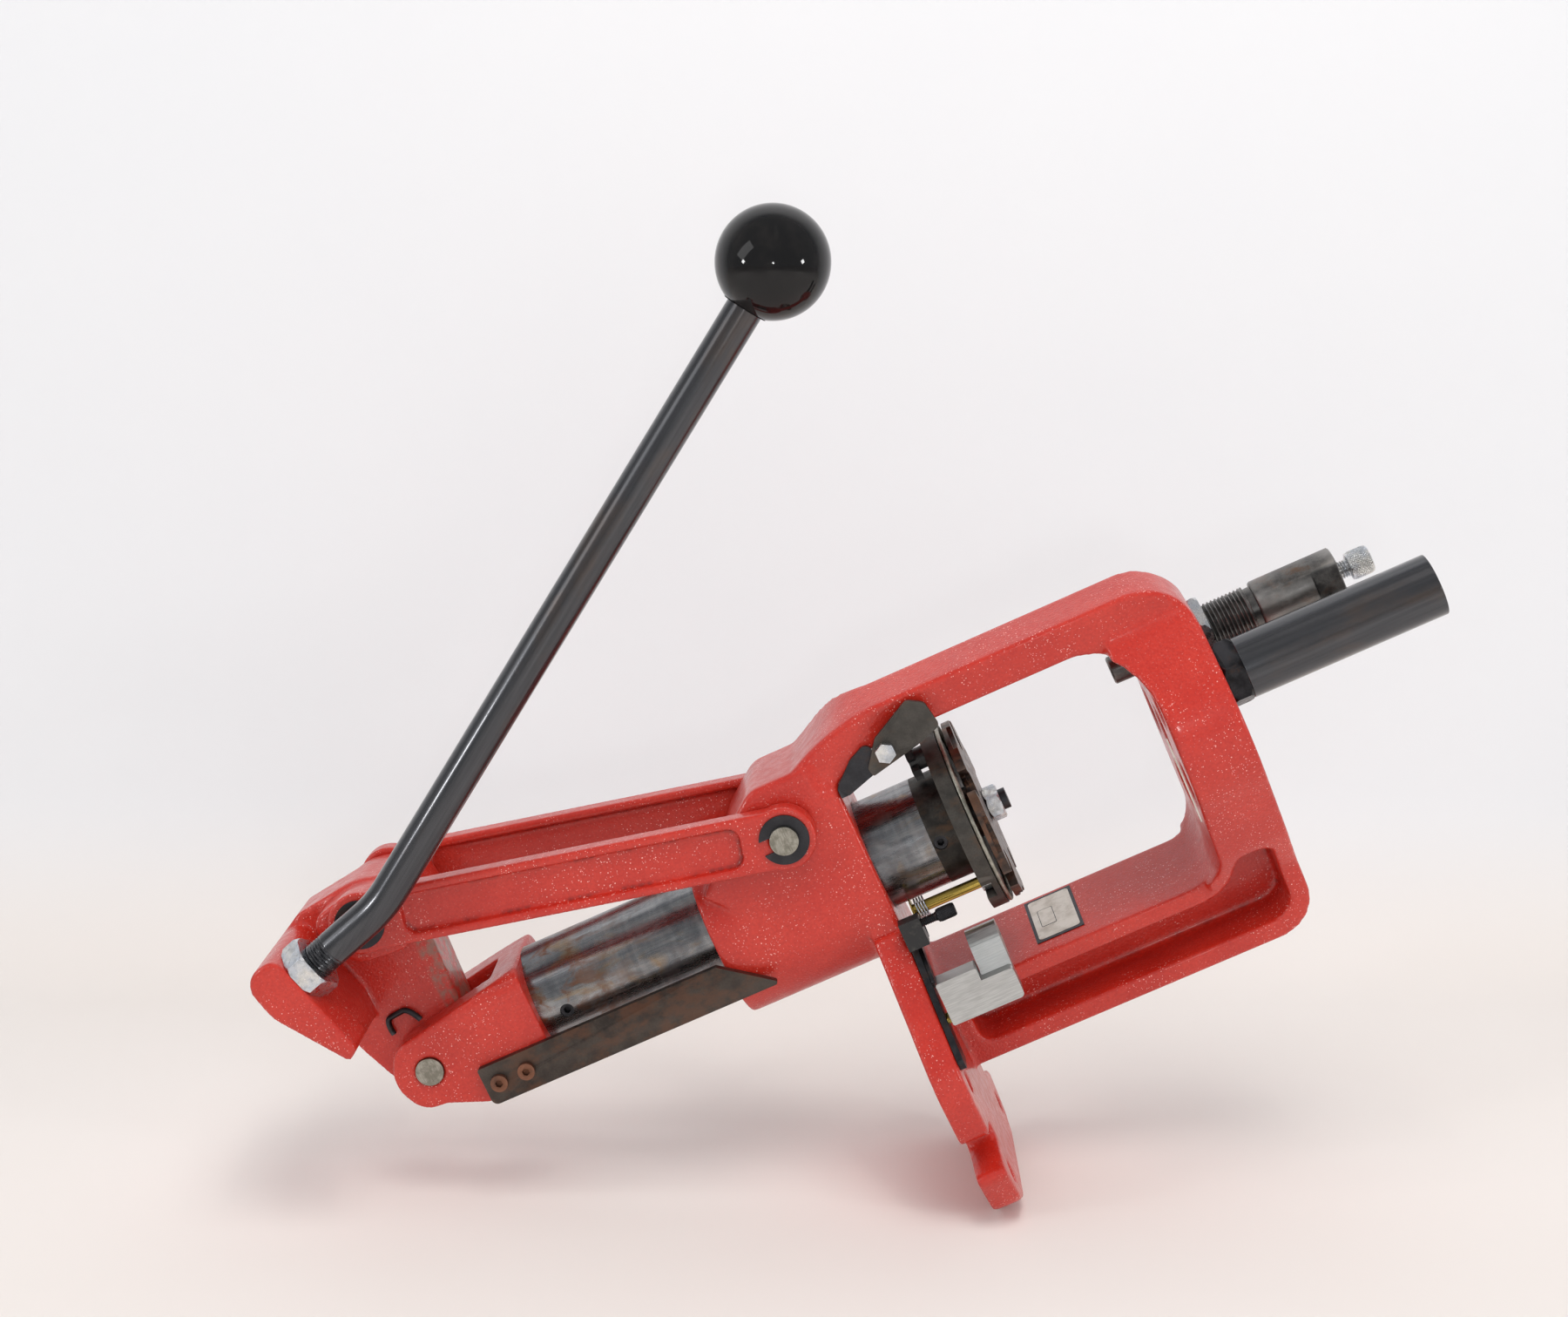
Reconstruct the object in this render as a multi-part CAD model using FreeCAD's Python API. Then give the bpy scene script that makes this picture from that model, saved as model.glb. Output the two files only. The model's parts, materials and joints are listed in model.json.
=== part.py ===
import FreeCAD, Part
import os
from math import atan2, cos, pi, radians, sin, sqrt, tan

# Bench press with a lever-driven toggle, an O-shaped frame and a ram carrying a turning shell plate.
# Millimetres.  +Z is the ram's direction, upwards.  +X points over the bench, -X to the operator,
# and -Y is the side of the handle.  Everything is drawn about the ram axis and the flange's underside;
# save() then moves the origin to the middle of the two rear bench bolts.

V = FreeCAD.Vector
Y_AXIS = V(0, 1, 0)
Z_AXIS = V(0, 0, 1)

# ---- linkage ----
LINK_PIVOT = (-33.0, -15.0)          # X, Z of the pin that joins the links to the frame
TOGGLE_PIVOT = (-74.0, -199.5)       # X, Z of the pin that joins lever and links
RAM_PIVOT = (2.0, -204.5)            # X, Z of the pin through the ram's clevis
PIN_R = 6.35                         # half-inch hardened pins
PIN_PLAY = 0.05
LINK_INNER_Y = 32.5
LINK_OUTER_Y = 43.0
LINK_WIDTH = 26.0
EYE_R = 14.0
E_RING_R = 11.0
E_RING_T = 1.2
LINK_FLANGE_T = 4.0
LINK_POCKET_DEPTH = 3.6
STUB_INNER_Y = 38.5                  # the lever's pin stops here; the links' end caps start beyond

# ---- ram ----
RAM_R = 25.0
RAM_PLAY = 0.05
RAM_BOTTOM = -150.5                  # seated on the clevis's top face
RAM_SHOULDER = 41.0
SPIGOT_R = 19.0
SET_SCREW_R = 3.2
LOWER_SET_SCREW = (3.2, -138.1)       # X, Z; the upper one holds the subplate's hub
UPPER_SET_SCREW = (0.7, 44.6)

# ---- O frame, turned about the ram axis relative to the linkage ----
FRAME_TURN = 15.0
FLANGE_T = 14.0
WINDOW_TOP = 152.0
FRAME_TOP = 185.0
OPERATOR_COLUMN = (-73.9, -56.4)
OPERATOR_HALF_Y = 12.7
ROOT_TOP = 42.0                      # above this the operator's column is a plain bar
BENCH_COLUMN = (68.0, 110.0)
BENCH_HALF_Y = 24.4
BENCH_WEB_HALF_Y = 4.0
HEAD_R = 50.0
BOSS_BOTTOM = -65.0
BOSS_HALF_Y = 31.5
BOSS_REACH_X = 12.0

# ---- five tool stations ----
STATION_PITCH_R = 33.0
STATION_R = 11.11                    # 7/8-14 thread
STATION_ANGLES = [165.0 + 72.0 * i for i in range(5)]
STATION_DIE = 165.0
STATION_TUBE = 237.0
TUBE_R = 13.8
TUBE_BORE = 11.4
TUBE_TOP = 283.0
TUBE_BASE_BORE = 9.0

# ---- subplate and shell plate ----
SUBPLATE_Z = (53.5, 60.7)
SUBPLATE_R = 43.0
SHELL_PLATE_Z = (64.5, 68.5)
SHELL_PLATE_R = 42.0
STUD_R = 4.76
STUD_TOP = 78.6
INDEX_AXIS_R = 36.0
INDEX_AXIS_ANGLE = 196.0

# ---- priming punch and shuttle ----
PUNCH_XY = (25.0, -21.0)
PUNCH_R = 2.55
PUNCH_BOTTOM = 20.6
PUNCH_COLLAR_R = 4.6
PUNCH_COLLAR_Z = (53.0, 58.0)
PUNCH_LANE_ANGLE = -80.0             # the notch in the rim that the punch's collar sits in
SHUTTLE_START = (33.0, -27.0)        # cup of the shuttle, beside the punch
SHUTTLE_RUN = (0.795, -0.606)        # direction from the punch to the feed block
SLIDE_TOP = FLANGE_T + 3.0
THUMB_SCREW_XY = (26.0, -40.2)

# ---- bench fixing ----
BENCH_BOLT_R = 4.5
BENCH_LINE_X = 146.0
BENCH_LINE_HALF_Y = 42.0
BENCH_BOLTS = [(98.0, -47.0), (BENCH_LINE_X, -BENCH_LINE_HALF_Y), (BENCH_LINE_X, BENCH_LINE_HALF_Y)]

# ---- guide bar ----
BAR_X = (9.0, 27.0)
BAR_Y = (-36.2, -32.0)
BAR_BOTTOM = -184.0
BAR_TIP = -43.5
BAR_PLAY = 0.5
BAR_SCREWS = [(17.9, -176.9), (17.8, -163.6)]
BAR_SCREW_R = 2.4

# ---- clevis ----
CLEVIS_HALF_Y = 32.0
SLOT_HALF_Y = 14.3
CLEVIS_TOP = -150.5
CLEVIS_SLOT_TOP = -166.0
CLEVIS_EYE_R = 16.5
WEB_HALF_Y = 14.0

# ---- handle ----
ROD_R = 7.94
ROD_Y = -58.0
ROD_BEND = (-80.5, -183.0)
ROD_LEAN_LOW = 17.0
ROD_TOP = (-246.8, 65.3)
BALL_R = 23.8
BALL_OFFSET = 21.5
JAM_NUT_AF = 24.0
JAM_NUT_T = 9.5
ROD_DEPTH = 16.0
BOSS_FACE_T = 46.5                   # distance along the rod from the bend to the lever's boss


# ---------------------------------------------------------------- helpers
def corner_wire(points, lift):
    """Closed wire through (u, v, radius) corners; each radius rounds its corner with an arc."""
    count = len(points)
    starts = []
    edges = []
    for i in range(count):
        before = points[i - 1]
        here = points[i]
        after = points[(i + 1) % count]
        p = V(here[0], here[1], 0)
        a = V(before[0], before[1], 0) - p
        b = V(after[0], after[1], 0) - p
        a.normalize()
        b.normalize()
        radius = here[2]
        half = a.getAngle(b) / 2
        if radius <= 0 or abs(half - pi / 2) < 1e-4:
            starts.append((p, None, p))
            continue
        run = radius / tan(half)
        middle = a + b
        middle.normalize()
        centre = p + middle * (radius / sin(half))
        starts.append((p + a * run, centre - middle * radius, p + b * run))
    for i in range(count):
        first, mid, last = starts[i]
        if mid is not None:
            edges.append(Part.Arc(lift(first), lift(mid), lift(last)).toShape())
        following = starts[(i + 1) % count][0]
        if (following - last).Length > 1e-6:
            edges.append(Part.LineSegment(lift(last), lift(following)).toShape())
    return Part.Wire(edges)


def plate(points, z0, z1):
    """Plan outline (x, y, radius) between two heights."""
    face = Part.Face(corner_wire(points, lambda p: V(p.x, p.y, z0)))
    return face.extrude(V(0, 0, z1 - z0))


def side_plate(points, y0, y1):
    """Side outline (x, z, radius) between two Y planes."""
    face = Part.Face(corner_wire(points, lambda p: V(p.x, y0, p.y)))
    return face.extrude(V(0, y1 - y0, 0))


def box(x, y, z):
    return Part.makeBox(x[1] - x[0], y[1] - y[0], z[1] - z[0], V(x[0], y[0], z[0]))


def rod(radius, start, end):
    return Part.makeCylinder(radius, (end - start).Length, start, end - start)


def cone(r0, r1, start, end):
    return Part.makeCone(r0, r1, (end - start).Length, start, end - start)


def tube(r_out, r_in, start, end):
    return rod(r_out, start, end).cut(rod(r_in, start, end))


def upright(radius, x, y, z0, z1):
    return rod(radius, V(x, y, z0), V(x, y, z1))


def cross_pin(radius, pivot, y0, y1):
    return rod(radius, V(pivot[0], y0, pivot[1]), V(pivot[0], y1, pivot[1]))


def hexagon(across_flats, start, end, turn=0.0):
    """Hexagonal bar from start to end."""
    direction = end - start
    corner = across_flats / sqrt(3)
    ring = [V(corner * cos(radians(turn + 60 * i)), corner * sin(radians(turn + 60 * i)), 0) for i in range(7)]
    face = Part.Face(Part.makePolygon(ring))
    solid = face.extrude(V(0, 0, direction.Length))
    solid.Placement = FreeCAD.Placement(start, FreeCAD.Rotation(Z_AXIS, direction))
    return solid


def nut(across_flats, bore, start, end, turn=0.0):
    """Hexagon nut with chamfered corners and a plain bore."""
    direction = end - start
    direction.normalize()
    crown = across_flats * 0.56
    blank = hexagon(across_flats, start, end, turn)
    drop = direction * (across_flats * 0.035)
    barrel = cone(crown - 0.9, crown + 0.5, start, start + drop * 2)
    barrel = barrel.fuse(rod(crown + 0.5, start + drop * 2, end - drop * 2))
    barrel = barrel.fuse(cone(crown + 0.5, crown - 0.9, end - drop * 2, end))
    return blank.common(barrel).cut(rod(bore, start, end))


def polar(radius, angle):
    return radius * cos(radians(angle)), radius * sin(radians(angle))


def turned(shape):
    """Turn a shape from the O frame's own directions to the press's."""
    copy = shape.copy()
    copy.rotate(V(0, 0, 0), Z_AXIS, FRAME_TURN)
    return copy


def joined(shapes):
    result = shapes[0]
    for extra in shapes[1:]:
        result = result.fuse(extra)
    return result.removeSplitter()


def save(name, *shapes):
    solids = [solid for shape in shapes for solid in shape.Solids]
    whole = solids[0] if len(solids) == 1 else Part.makeCompound(solids)
    whole.translate(V(-BENCH_LINE_X, 0, 0))
    if not whole.isValid():
        print("NOT VALID", name)
    whole.exportStep("parts/" + name + ".step")
    print("%-22s %2d solid(s) %10.0f mm3" % (name, len(solids), whole.Volume))
    return whole


# ---------------------------------------------------------------- frame casting
def o_frame():
    """Both columns and the head, with the round-cornered window between them."""
    reach = HEAD_R + 5
    left, left_in = OPERATOR_COLUMN
    right_in, right = BENCH_COLUMN
    outer = side_plate([(left, 0, 0), (left, FRAME_TOP, 26), (right, FRAME_TOP, 20), (right, 0, 0)], -reach, reach)
    window = side_plate([(left_in, FLANGE_T, 20), (left_in, WINDOW_TOP + 3, 27), (right_in, WINDOW_TOP, 16),
                         (right_in, FLANGE_T, 4)], -reach, reach)
    ring = outer.cut(window)
    slim = OPERATOR_HALF_Y
    wide = BENCH_HALF_Y
    operator_zone = box((left, -20), (-slim, slim), (ROOT_TOP, FRAME_TOP))
    bench_zone = box((45, right), (-wide, wide), (0, FRAME_TOP))
    flare = plate([(left, -slim, 0), (-58, -slim, 14), (-38, -32.5, 0), (-38, 32.5, 0), (-58, slim, 14),
                   (left, slim, 0)], WINDOW_TOP - 8, FRAME_TOP)
    bridge = plate([(20, -45.8, 0), (52, -36, 20), (76, -wide, 16), (right, -wide, 0), (right, wide, 0),
                    (76, wide, 16), (52, 36, 20), (20, 45.8, 0)], WINDOW_TOP - 8, FRAME_TOP)
    disc = upright(HEAD_R, 0, 0, WINDOW_TOP - 8, FRAME_TOP)
    zones = joined([operator_zone, bench_zone, flare, bridge, disc])
    body = ring.common(zones)
    for side in (-1, 1):
        y0, y1 = sorted((side * BENCH_WEB_HALF_Y, side * 60))
        pocket = side_plate([(76.5, FLANGE_T + 9, 6), (76.5, WINDOW_TOP - 2, 18), (56, WINDOW_TOP + 9, 5),
                             (56, FRAME_TOP - 9, 7), (100, FRAME_TOP - 9, 12), (100, FLANGE_T + 9, 6)], y0, y1)
        body = body.cut(pocket)
    return turned(body)


def flange():
    """Bench flange: an ear each side, a notch, and a tongue with chamfered corners."""
    near = [(-57, -12, 12), (-48, -BOSS_HALF_Y, 14), (22, -BOSS_HALF_Y, 24), (86, -65, 22), (100, -65, 10),
            (120, -60, 5), (122.5, -37, 3), (130, -39, 3), (136, -64, 3), (156, -52, 6), (162, -36, 8)]
    far = [(x, -y, r) for x, y, r in reversed(near)]
    return plate(near + far, 0, FLANGE_T)


def boss():
    """Ram housing below the flange, with the wide bearing for the links' pin."""
    half = BOSS_HALF_Y
    barrel = plate([(-half, -half, half - 0.01), (BOSS_REACH_X + half, -half, half - 0.01),
                    (BOSS_REACH_X + half, half, half - 0.01), (-half, half, half - 0.01)], BOSS_BOTTOM, 0)
    cheek = side_plate([(-56, 6, 0), (-56, -22, 12), (-44, -38, 14), (-20, -60, 0), (0, -40, 0), (0, 6, 0)],
                       -half, half)
    return [barrel, cheek]


def column_root():
    """Casting that widens from the operator's column down to the flange."""
    left, left_in = OPERATOR_COLUMN
    slim = OPERATOR_HALF_Y

    def section(z, corners):
        points = [turned(Part.Vertex(V(x, y, z))).Point for x, y in corners]
        return Part.makePolygon(points + points[:1])

    def level(z, corners):
        points = [V(x, y, z) for x, y in corners]
        return Part.makePolygon(points + points[:1])

    column = section(ROOT_TOP, [(left, -slim), (left_in, -slim), (left_in, slim), (left, slim)])
    waist = level(22, [(-65, -30), (-46, -29.8), (-48, 12), (-71.5, 8)])
    foot = level(8, [(-60.5, -30), (-40, -29.8), (-40, 28), (-62, 26)])
    base = level(-2, [(-56, -30.5), (-38, -30.5), (-38, 30), (-56, 30)])
    return Part.makeLoft([column, waist, foot, base], True, False)


def frame_casting():
    body = joined([o_frame(), flange()] + boss() + [column_root()])
    cuts = [upright(RAM_R + RAM_PLAY, 0, 0, BOSS_BOTTOM - 1, FLANGE_T + 1)]
    cuts.append(upright(12.0, 0, 0, WINDOW_TOP - 1, WINDOW_TOP + 4))
    for angle in STATION_ANGLES:
        x, y = polar(STATION_PITCH_R, angle)
        cuts.append(upright(STATION_R, x, y, WINDOW_TOP - 10, FRAME_TOP + 1))
    for x, y in BENCH_BOLTS:
        cuts.append(upright(BENCH_BOLT_R, x, y, -1, FLANGE_T + 1))
    cuts.append(cross_pin(PIN_R, LINK_PIVOT, -BOSS_HALF_Y - 1, BOSS_HALF_Y + 1))
    gap = BAR_PLAY
    cuts.append(box((BAR_X[0] - gap, BAR_X[1] + gap), (-60, BAR_Y[1] + gap), (-1, FLANGE_T + 1)))
    return body.cut(Part.makeCompound(cuts))


# ---------------------------------------------------------------- links
def link_side(sign):
    """One link: an eye at each end of an I-section bar."""
    ax, az = LINK_PIVOT
    bx, bz = TOGGLE_PIVOT
    length = sqrt((ax - bx) ** 2 + (az - bz) ** 2)
    half = LINK_WIDTH / 2
    y0, y1 = sorted((sign * LINK_INNER_Y, sign * LINK_OUTER_Y))
    bar = side_plate([(-half, 0, 0), (half, 0, 0), (half, length, 0), (-half, length, 0)], y0, y1)
    eyes = [cross_pin(EYE_R, (0, end), y0, y1) for end in (0, length)]
    body = joined([bar] + eyes)
    inset = half - LINK_FLANGE_T
    for face, depth in ((sign * LINK_OUTER_Y, -sign), (sign * LINK_INNER_Y, sign)):
        p0, p1 = sorted((face - depth * 0.5, face + depth * LINK_POCKET_DEPTH))
        recess = side_plate([(-inset, 19, 5), (inset, 19, 5), (inset, length - 19, 5), (-inset, length - 19, 5)], p0, p1)
        body = body.cut(recess)
    body = body.cut(cross_pin(PIN_R + PIN_PLAY, (0, length), y0 - 1, y1 + 1))
    body = body.cut(cross_pin(PIN_R, (0, 0), y0 - 1, y1 + 1))
    body.rotate(V(0, 0, 0), Y_AXIS, atan2(ax - bx, az - bz) * 180 / pi)
    body.translate(V(bx, 0, bz))
    return body


def e_ring(pivot, y, bore):
    """Snap ring: a flat ring with a slot and two inner notches."""
    ring = cross_pin(E_RING_R, pivot, y, y + E_RING_T).cut(cross_pin(bore, pivot, y - 1, y + E_RING_T + 1))
    mouth = box((pivot[0] - 3.2, pivot[0] + 3.2), (y - 1, y + E_RING_T + 1), (pivot[1] - E_RING_R - 1, pivot[1]))
    return ring.cut(mouth)


def ring_pair(pivot, bore):
    outer = LINK_OUTER_Y + 0.05
    return [e_ring(pivot, outer, bore), e_ring(pivot, -outer - E_RING_T, bore)]


def pivot_pin():
    """Long pin through the frame's bearing, grooved for the snap rings."""
    end = LINK_OUTER_Y + 3.6
    pin = cross_pin(PIN_R, LINK_PIVOT, -end, end)
    groove_y = LINK_OUTER_Y + 0.05
    for y in (groove_y, -groove_y - E_RING_T):
        band = cross_pin(PIN_R + 1, LINK_PIVOT, y, y + E_RING_T)
        pin = pin.cut(band.cut(cross_pin(PIN_R - 0.6, LINK_PIVOT, y, y + E_RING_T)))
    return pin


def link_stubs():
    """Pin ends that the links carry at the toggle."""
    end = LINK_OUTER_Y + 2.6
    stubs = []
    for sign in (-1, 1):
        y0, y1 = sorted((sign * STUB_INNER_Y, sign * end))
        stub = cross_pin(PIN_R, TOGGLE_PIVOT, y0, y1)
        groove = sorted((sign * (LINK_OUTER_Y + 0.05), sign * (LINK_OUTER_Y + 0.05 + E_RING_T)))
        band = cross_pin(PIN_R + 1, TOGGLE_PIVOT, *groove).cut(cross_pin(PIN_R - 0.6, TOGGLE_PIVOT, *groove))
        stubs.append(stub.cut(band))
    return stubs


# ---------------------------------------------------------------- lever and handle
def rod_frame():
    """Unit vector down the handle's lower run, and the points where it meets nut and lever."""
    down = V(sin(radians(ROD_LEAN_LOW)), 0, -cos(radians(ROD_LEAN_LOW)))
    bend = V(ROD_BEND[0], ROD_Y, ROD_BEND[1])
    return bend, down, bend + down * BOSS_FACE_T


def lever_block():
    """Toggle lever: a web between the clevis ears, a hub between the links, and the handle's boss."""
    cx, cz = RAM_PIVOT
    bx, bz = TOGGLE_PIVOT
    bend, down, face = rod_frame()
    slope = tan(radians(ROD_LEAN_LOW))

    def top_z(x):
        return face.z + (x - face.x) * slope

    web = side_plate([(-84, -232, 6), (-88, -202, 28), (-82, -178, 9), (-64, -176, 6), (-50, -181.5, 6), (-12, -183.5, 6),
                      (-2, -190, 4), (16, -197, 13), (16, -219, 13), (0, -227.5, 3), (-13, -233, 2),
                      (-58, -249, 12), (-75, -248, 9)], -WEB_HALF_Y, WEB_HALF_Y)
    hub_half = LINK_INNER_Y - 0.5
    hub = side_plate([(-82, -222, 8), (-86.5, -202, 24), (-81, -179, 8), (-64, -177, 8), (-53, -188, 10),
                      (-56, -213, 10), (-72, -222, 8)], -hub_half, hub_half)
    near = -71.0
    outline = [(-81, top_z(-81), 6), (-77, -249, 9), (-57, -244, 20), (-26, -222, 2), (-30.5, top_z(-30.5), 3)]
    boss_outer = side_plate(outline, near, -46.8)
    boss_inner = side_plate(outline, -46.8, -WEB_HALF_Y + 1)
    sweep = box((-90, 20), (-46.8, 0), (bz - 20, bz + 20))
    boss_inner = boss_inner.cut(sweep)
    body = joined([web, hub, boss_outer, boss_inner])
    pins = [cross_pin(PIN_R + PIN_PLAY, RAM_PIVOT, -20, 20), cross_pin(PIN_R, TOGGLE_PIVOT, -40, 40)]
    socket = rod(ROD_R, face - down * 5, face + down * ROD_DEPTH)
    return body.cut(Part.makeCompound(pins)).cut(socket)


def handle_rod():
    bend, down, face = rod_frame()
    top = V(ROD_TOP[0], ROD_Y, ROD_TOP[1])
    low = face + down * ROD_DEPTH
    up = top - bend
    up.normalize()
    radius = 60.0
    turn = up.getAngle(down * -1)
    run = radius * tan(turn / 2)
    first = bend + down * run
    last = bend + up * run
    middle = down + up
    middle.normalize()
    centre = bend + middle * (radius / cos(turn / 2))
    mid = centre - middle * radius
    path = Part.Wire([Part.LineSegment(low, first).toShape(), Part.Arc(first, mid, last).toShape(),
                      Part.LineSegment(last, top + up * 6).toShape()])
    circle = Part.Wire([Part.makeCircle(ROD_R, low, down)])
    return path.makePipeShell([circle], True, False)


def ball_knob():
    bend, down, face = rod_frame()
    top = V(ROD_TOP[0], ROD_Y, ROD_TOP[1])
    up = top - bend
    up.normalize()
    centre = top + up * BALL_OFFSET
    ball = Part.makeSphere(BALL_R, centre)
    ball = ball.cut(rod(BALL_R, top - up * 5, top))
    return ball.cut(rod(ROD_R, top - up * 6, top + up * 6))


def jam_nut():
    bend, down, face = rod_frame()
    return nut(JAM_NUT_AF, ROD_R, face - down * JAM_NUT_T, face)


def toggle_pin():
    """Pin through the lever's hub, ending inside the links' eyes with clearance."""
    return cross_pin(PIN_R, TOGGLE_PIVOT, -LINK_INNER_Y + 0.5, LINK_INNER_Y - 0.5)


# ---------------------------------------------------------------- ram, clevis, guide bar
def ram():
    body = upright(RAM_R, 0, 0, RAM_BOTTOM, RAM_SHOULDER)
    body = body.fuse(upright(SPIGOT_R, 0, 0, RAM_SHOULDER, SUBPLATE_Z[0]))
    body = body.cut(upright(STUD_R, 0, 0, 20, SUBPLATE_Z[0] + 1))
    return body.cut(set_screw_hole(LOWER_SET_SCREW)).removeSplitter()


def set_screw_hole(place):
    x, z = place
    return rod(SET_SCREW_R, V(x, -RAM_R - 1, z), V(x, -RAM_R + 5.5, z))


def ram_set_screws():
    screws = []
    for x, z in (LOWER_SET_SCREW, UPPER_SET_SCREW):
        screw = rod(SET_SCREW_R, V(x, -RAM_R + 1.0, z), V(x, -RAM_R + 5.5, z))
        screws.append(screw.cut(hexagon(2.8, V(x, -RAM_R, z), V(x, -RAM_R + 4, z))))
    return screws


def clevis():
    cx, cz = RAM_PIVOT
    top = CLEVIS_TOP
    half = CLEVIS_HALF_Y
    eye = CLEVIS_EYE_R
    slab = side_plate([(-25, top, 1.5), (cx - eye, cz - 4, 0), (cx - eye, cz - 12, 12), (cx, cz - eye, 0),
                       (cx + eye, cz - 12, 12), (cx + eye, cz, 6), (26, -186, 6), (28, top, 3)], -half, half)
    plan = plate([(-25, -half, 9), (28, -half, 4), (28, half, 9), (-25, half, 9)], -230, -140)
    body = slab.common(plan)
    body = body.fuse(cross_pin(eye, RAM_PIVOT, -half, half))
    slot = box((-60, 60), (-SLOT_HALF_Y, SLOT_HALF_Y), (-240, CLEVIS_SLOT_TOP))
    body = body.cut(slot)
    body = body.cut(cross_pin(PIN_R, RAM_PIVOT, -40, 40))
    body = body.cut(upright(4.0, 0, 0, -240, RAM_BOTTOM + 1))
    for x, z in BAR_SCREWS:
        body = body.cut(rod(BAR_SCREW_R, V(x, -half - 1, z), V(x, -half + 8, z)))
    return body.removeSplitter()


def clevis_bolt():
    """Cap screw that holds the clevis to the ram's lower end."""
    head = upright(6.5, 0, 0, CLEVIS_SLOT_TOP - 5, CLEVIS_SLOT_TOP)
    head = head.cut(hexagon(5.0, V(0, 0, CLEVIS_SLOT_TOP - 6), V(0, 0, CLEVIS_SLOT_TOP - 2)))
    return head.fuse(upright(4.0, 0, 0, CLEVIS_SLOT_TOP, RAM_BOTTOM))


def clevis_pin():
    end = CLEVIS_HALF_Y + 1.0
    return cross_pin(PIN_R, RAM_PIVOT, -end, end)


def hairpin_clip():
    """Bent wire keeper on the lever, above the clevis pin."""
    y = -WEB_HALF_Y - 1.6
    legs = [V(-18.6, y, -202), V(-23.5, y, -207), V(-21.5, y, -217), V(-16.8, y, -216)]
    wire = [rod(1.5, legs[i], legs[i + 1]) for i in range(3)]
    knees = [Part.makeSphere(1.5, p) for p in legs[1:3]]
    return joined(wire + knees)


def guide_bar():
    x0, x1 = BAR_X
    bar = side_plate([(x0, BAR_BOTTOM, 1), (x1, BAR_BOTTOM, 3), (x1, BAR_TIP, 1), (x0, BAR_TIP - 24, 1)], *BAR_Y)
    for x, z in BAR_SCREWS:
        bar = bar.cut(rod(BAR_SCREW_R, V(x, -40, z), V(x, -20, z)))
    return bar


def bar_screws():
    screws = []
    for x, z in BAR_SCREWS:
        y = BAR_Y[0]
        head = rod(3.9, V(x, y - 2.6, z), V(x, y, z)).cut(hexagon(3.0, V(x, y - 3, z), V(x, y - 0.8, z)))
        screws.append(head.fuse(rod(BAR_SCREW_R, V(x, y, z), V(x, -CLEVIS_HALF_Y + 8, z))))
    return screws


# ---------------------------------------------------------------- subplate and shell plate
def subplate():
    body = upright(SUBPLATE_R, 0, 0, *SUBPLATE_Z)
    body = body.fuse(upright(RAM_R, 0, 0, RAM_SHOULDER, SUBPLATE_Z[0]))
    body = body.cut(upright(SPIGOT_R, 0, 0, RAM_SHOULDER - 1, SUBPLATE_Z[0]))
    body = body.cut(upright(STUD_R, 0, 0, SUBPLATE_Z[0] - 1, SUBPLATE_Z[1] + 1))
    x, y = polar(INDEX_AXIS_R, INDEX_AXIS_ANGLE)
    body = body.cut(upright(3.05, x, y, SUBPLATE_Z[0] - 1, SUBPLATE_Z[1] + 1))
    px, py = PUNCH_XY
    body = body.cut(upright(PUNCH_R, px, py, SUBPLATE_Z[0] - 1, SUBPLATE_Z[1] + 1))
    z0 = SUBPLATE_Z[0] - 1
    lane = Part.makeBox(30, 2 * PUNCH_COLLAR_R, PUNCH_COLLAR_Z[1] - z0, V(0, -PUNCH_COLLAR_R, z0))
    lane.rotate(V(0, 0, 0), Z_AXIS, PUNCH_LANE_ANGLE)
    lane.translate(V(px, py, 0))
    body = body.cut(lane.fuse(upright(PUNCH_COLLAR_R, px, py, z0, PUNCH_COLLAR_Z[1])))
    return body.cut(set_screw_hole(UPPER_SET_SCREW)).removeSplitter()


def shell_plate():
    """Turning plate with five shell-holding notches and scalloped rim between them."""
    z0, z1 = SHELL_PLATE_Z
    body = upright(SHELL_PLATE_R, 0, 0, z0, z1)
    body = body.fuse(upright(12.0, 0, 0, SUBPLATE_Z[1] + 0.3, z0))
    cuts = [upright(STUD_R + 0.05, 0, 0, 50, 90)]
    for angle in STATION_ANGLES:
        x, y = polar(STATION_PITCH_R, angle)
        ox, oy = polar(SHELL_PLATE_R + 8, angle)
        cuts.append(upright(6.2, x, y, z0 + 1.8, z1 + 1))
        cuts.append(upright(5.0, x, y, z0 - 1, z1 + 1))
        lane = Part.makeBox(20, 10.4, z1 - z0 + 2, V(0, -5.2, z0 - 1))
        lane.translate(V(STATION_PITCH_R, 0, 0))
        lane.rotate(V(0, 0, 0), Z_AXIS, angle)
        cuts.append(lane)
        sx, sy = polar(SHELL_PLATE_R + 13.5, angle + 36)
        cuts.append(upright(17.0, sx, sy, z0 + 2.0, z1 + 1))
    return body.cut(Part.makeCompound(cuts[:1])).cut(joined(cuts[1:]))


def shell_retainer():
    """Round-wire ring that keeps the shells in their notches, held by the subplate's rim."""
    return Part.makeTorus(SUBPLATE_R - 1.4, 1.2, V(0, 0, SUBPLATE_Z[1] + 1.2), Z_AXIS)


def centre_stud():
    return upright(STUD_R, 0, 0, 20, STUD_TOP)


def centre_nut():
    z = SHELL_PLATE_Z[1] + 0.35
    body = nut(14.3, STUD_R, V(0, 0, z), V(0, 0, z + 6.6))
    return body


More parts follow.
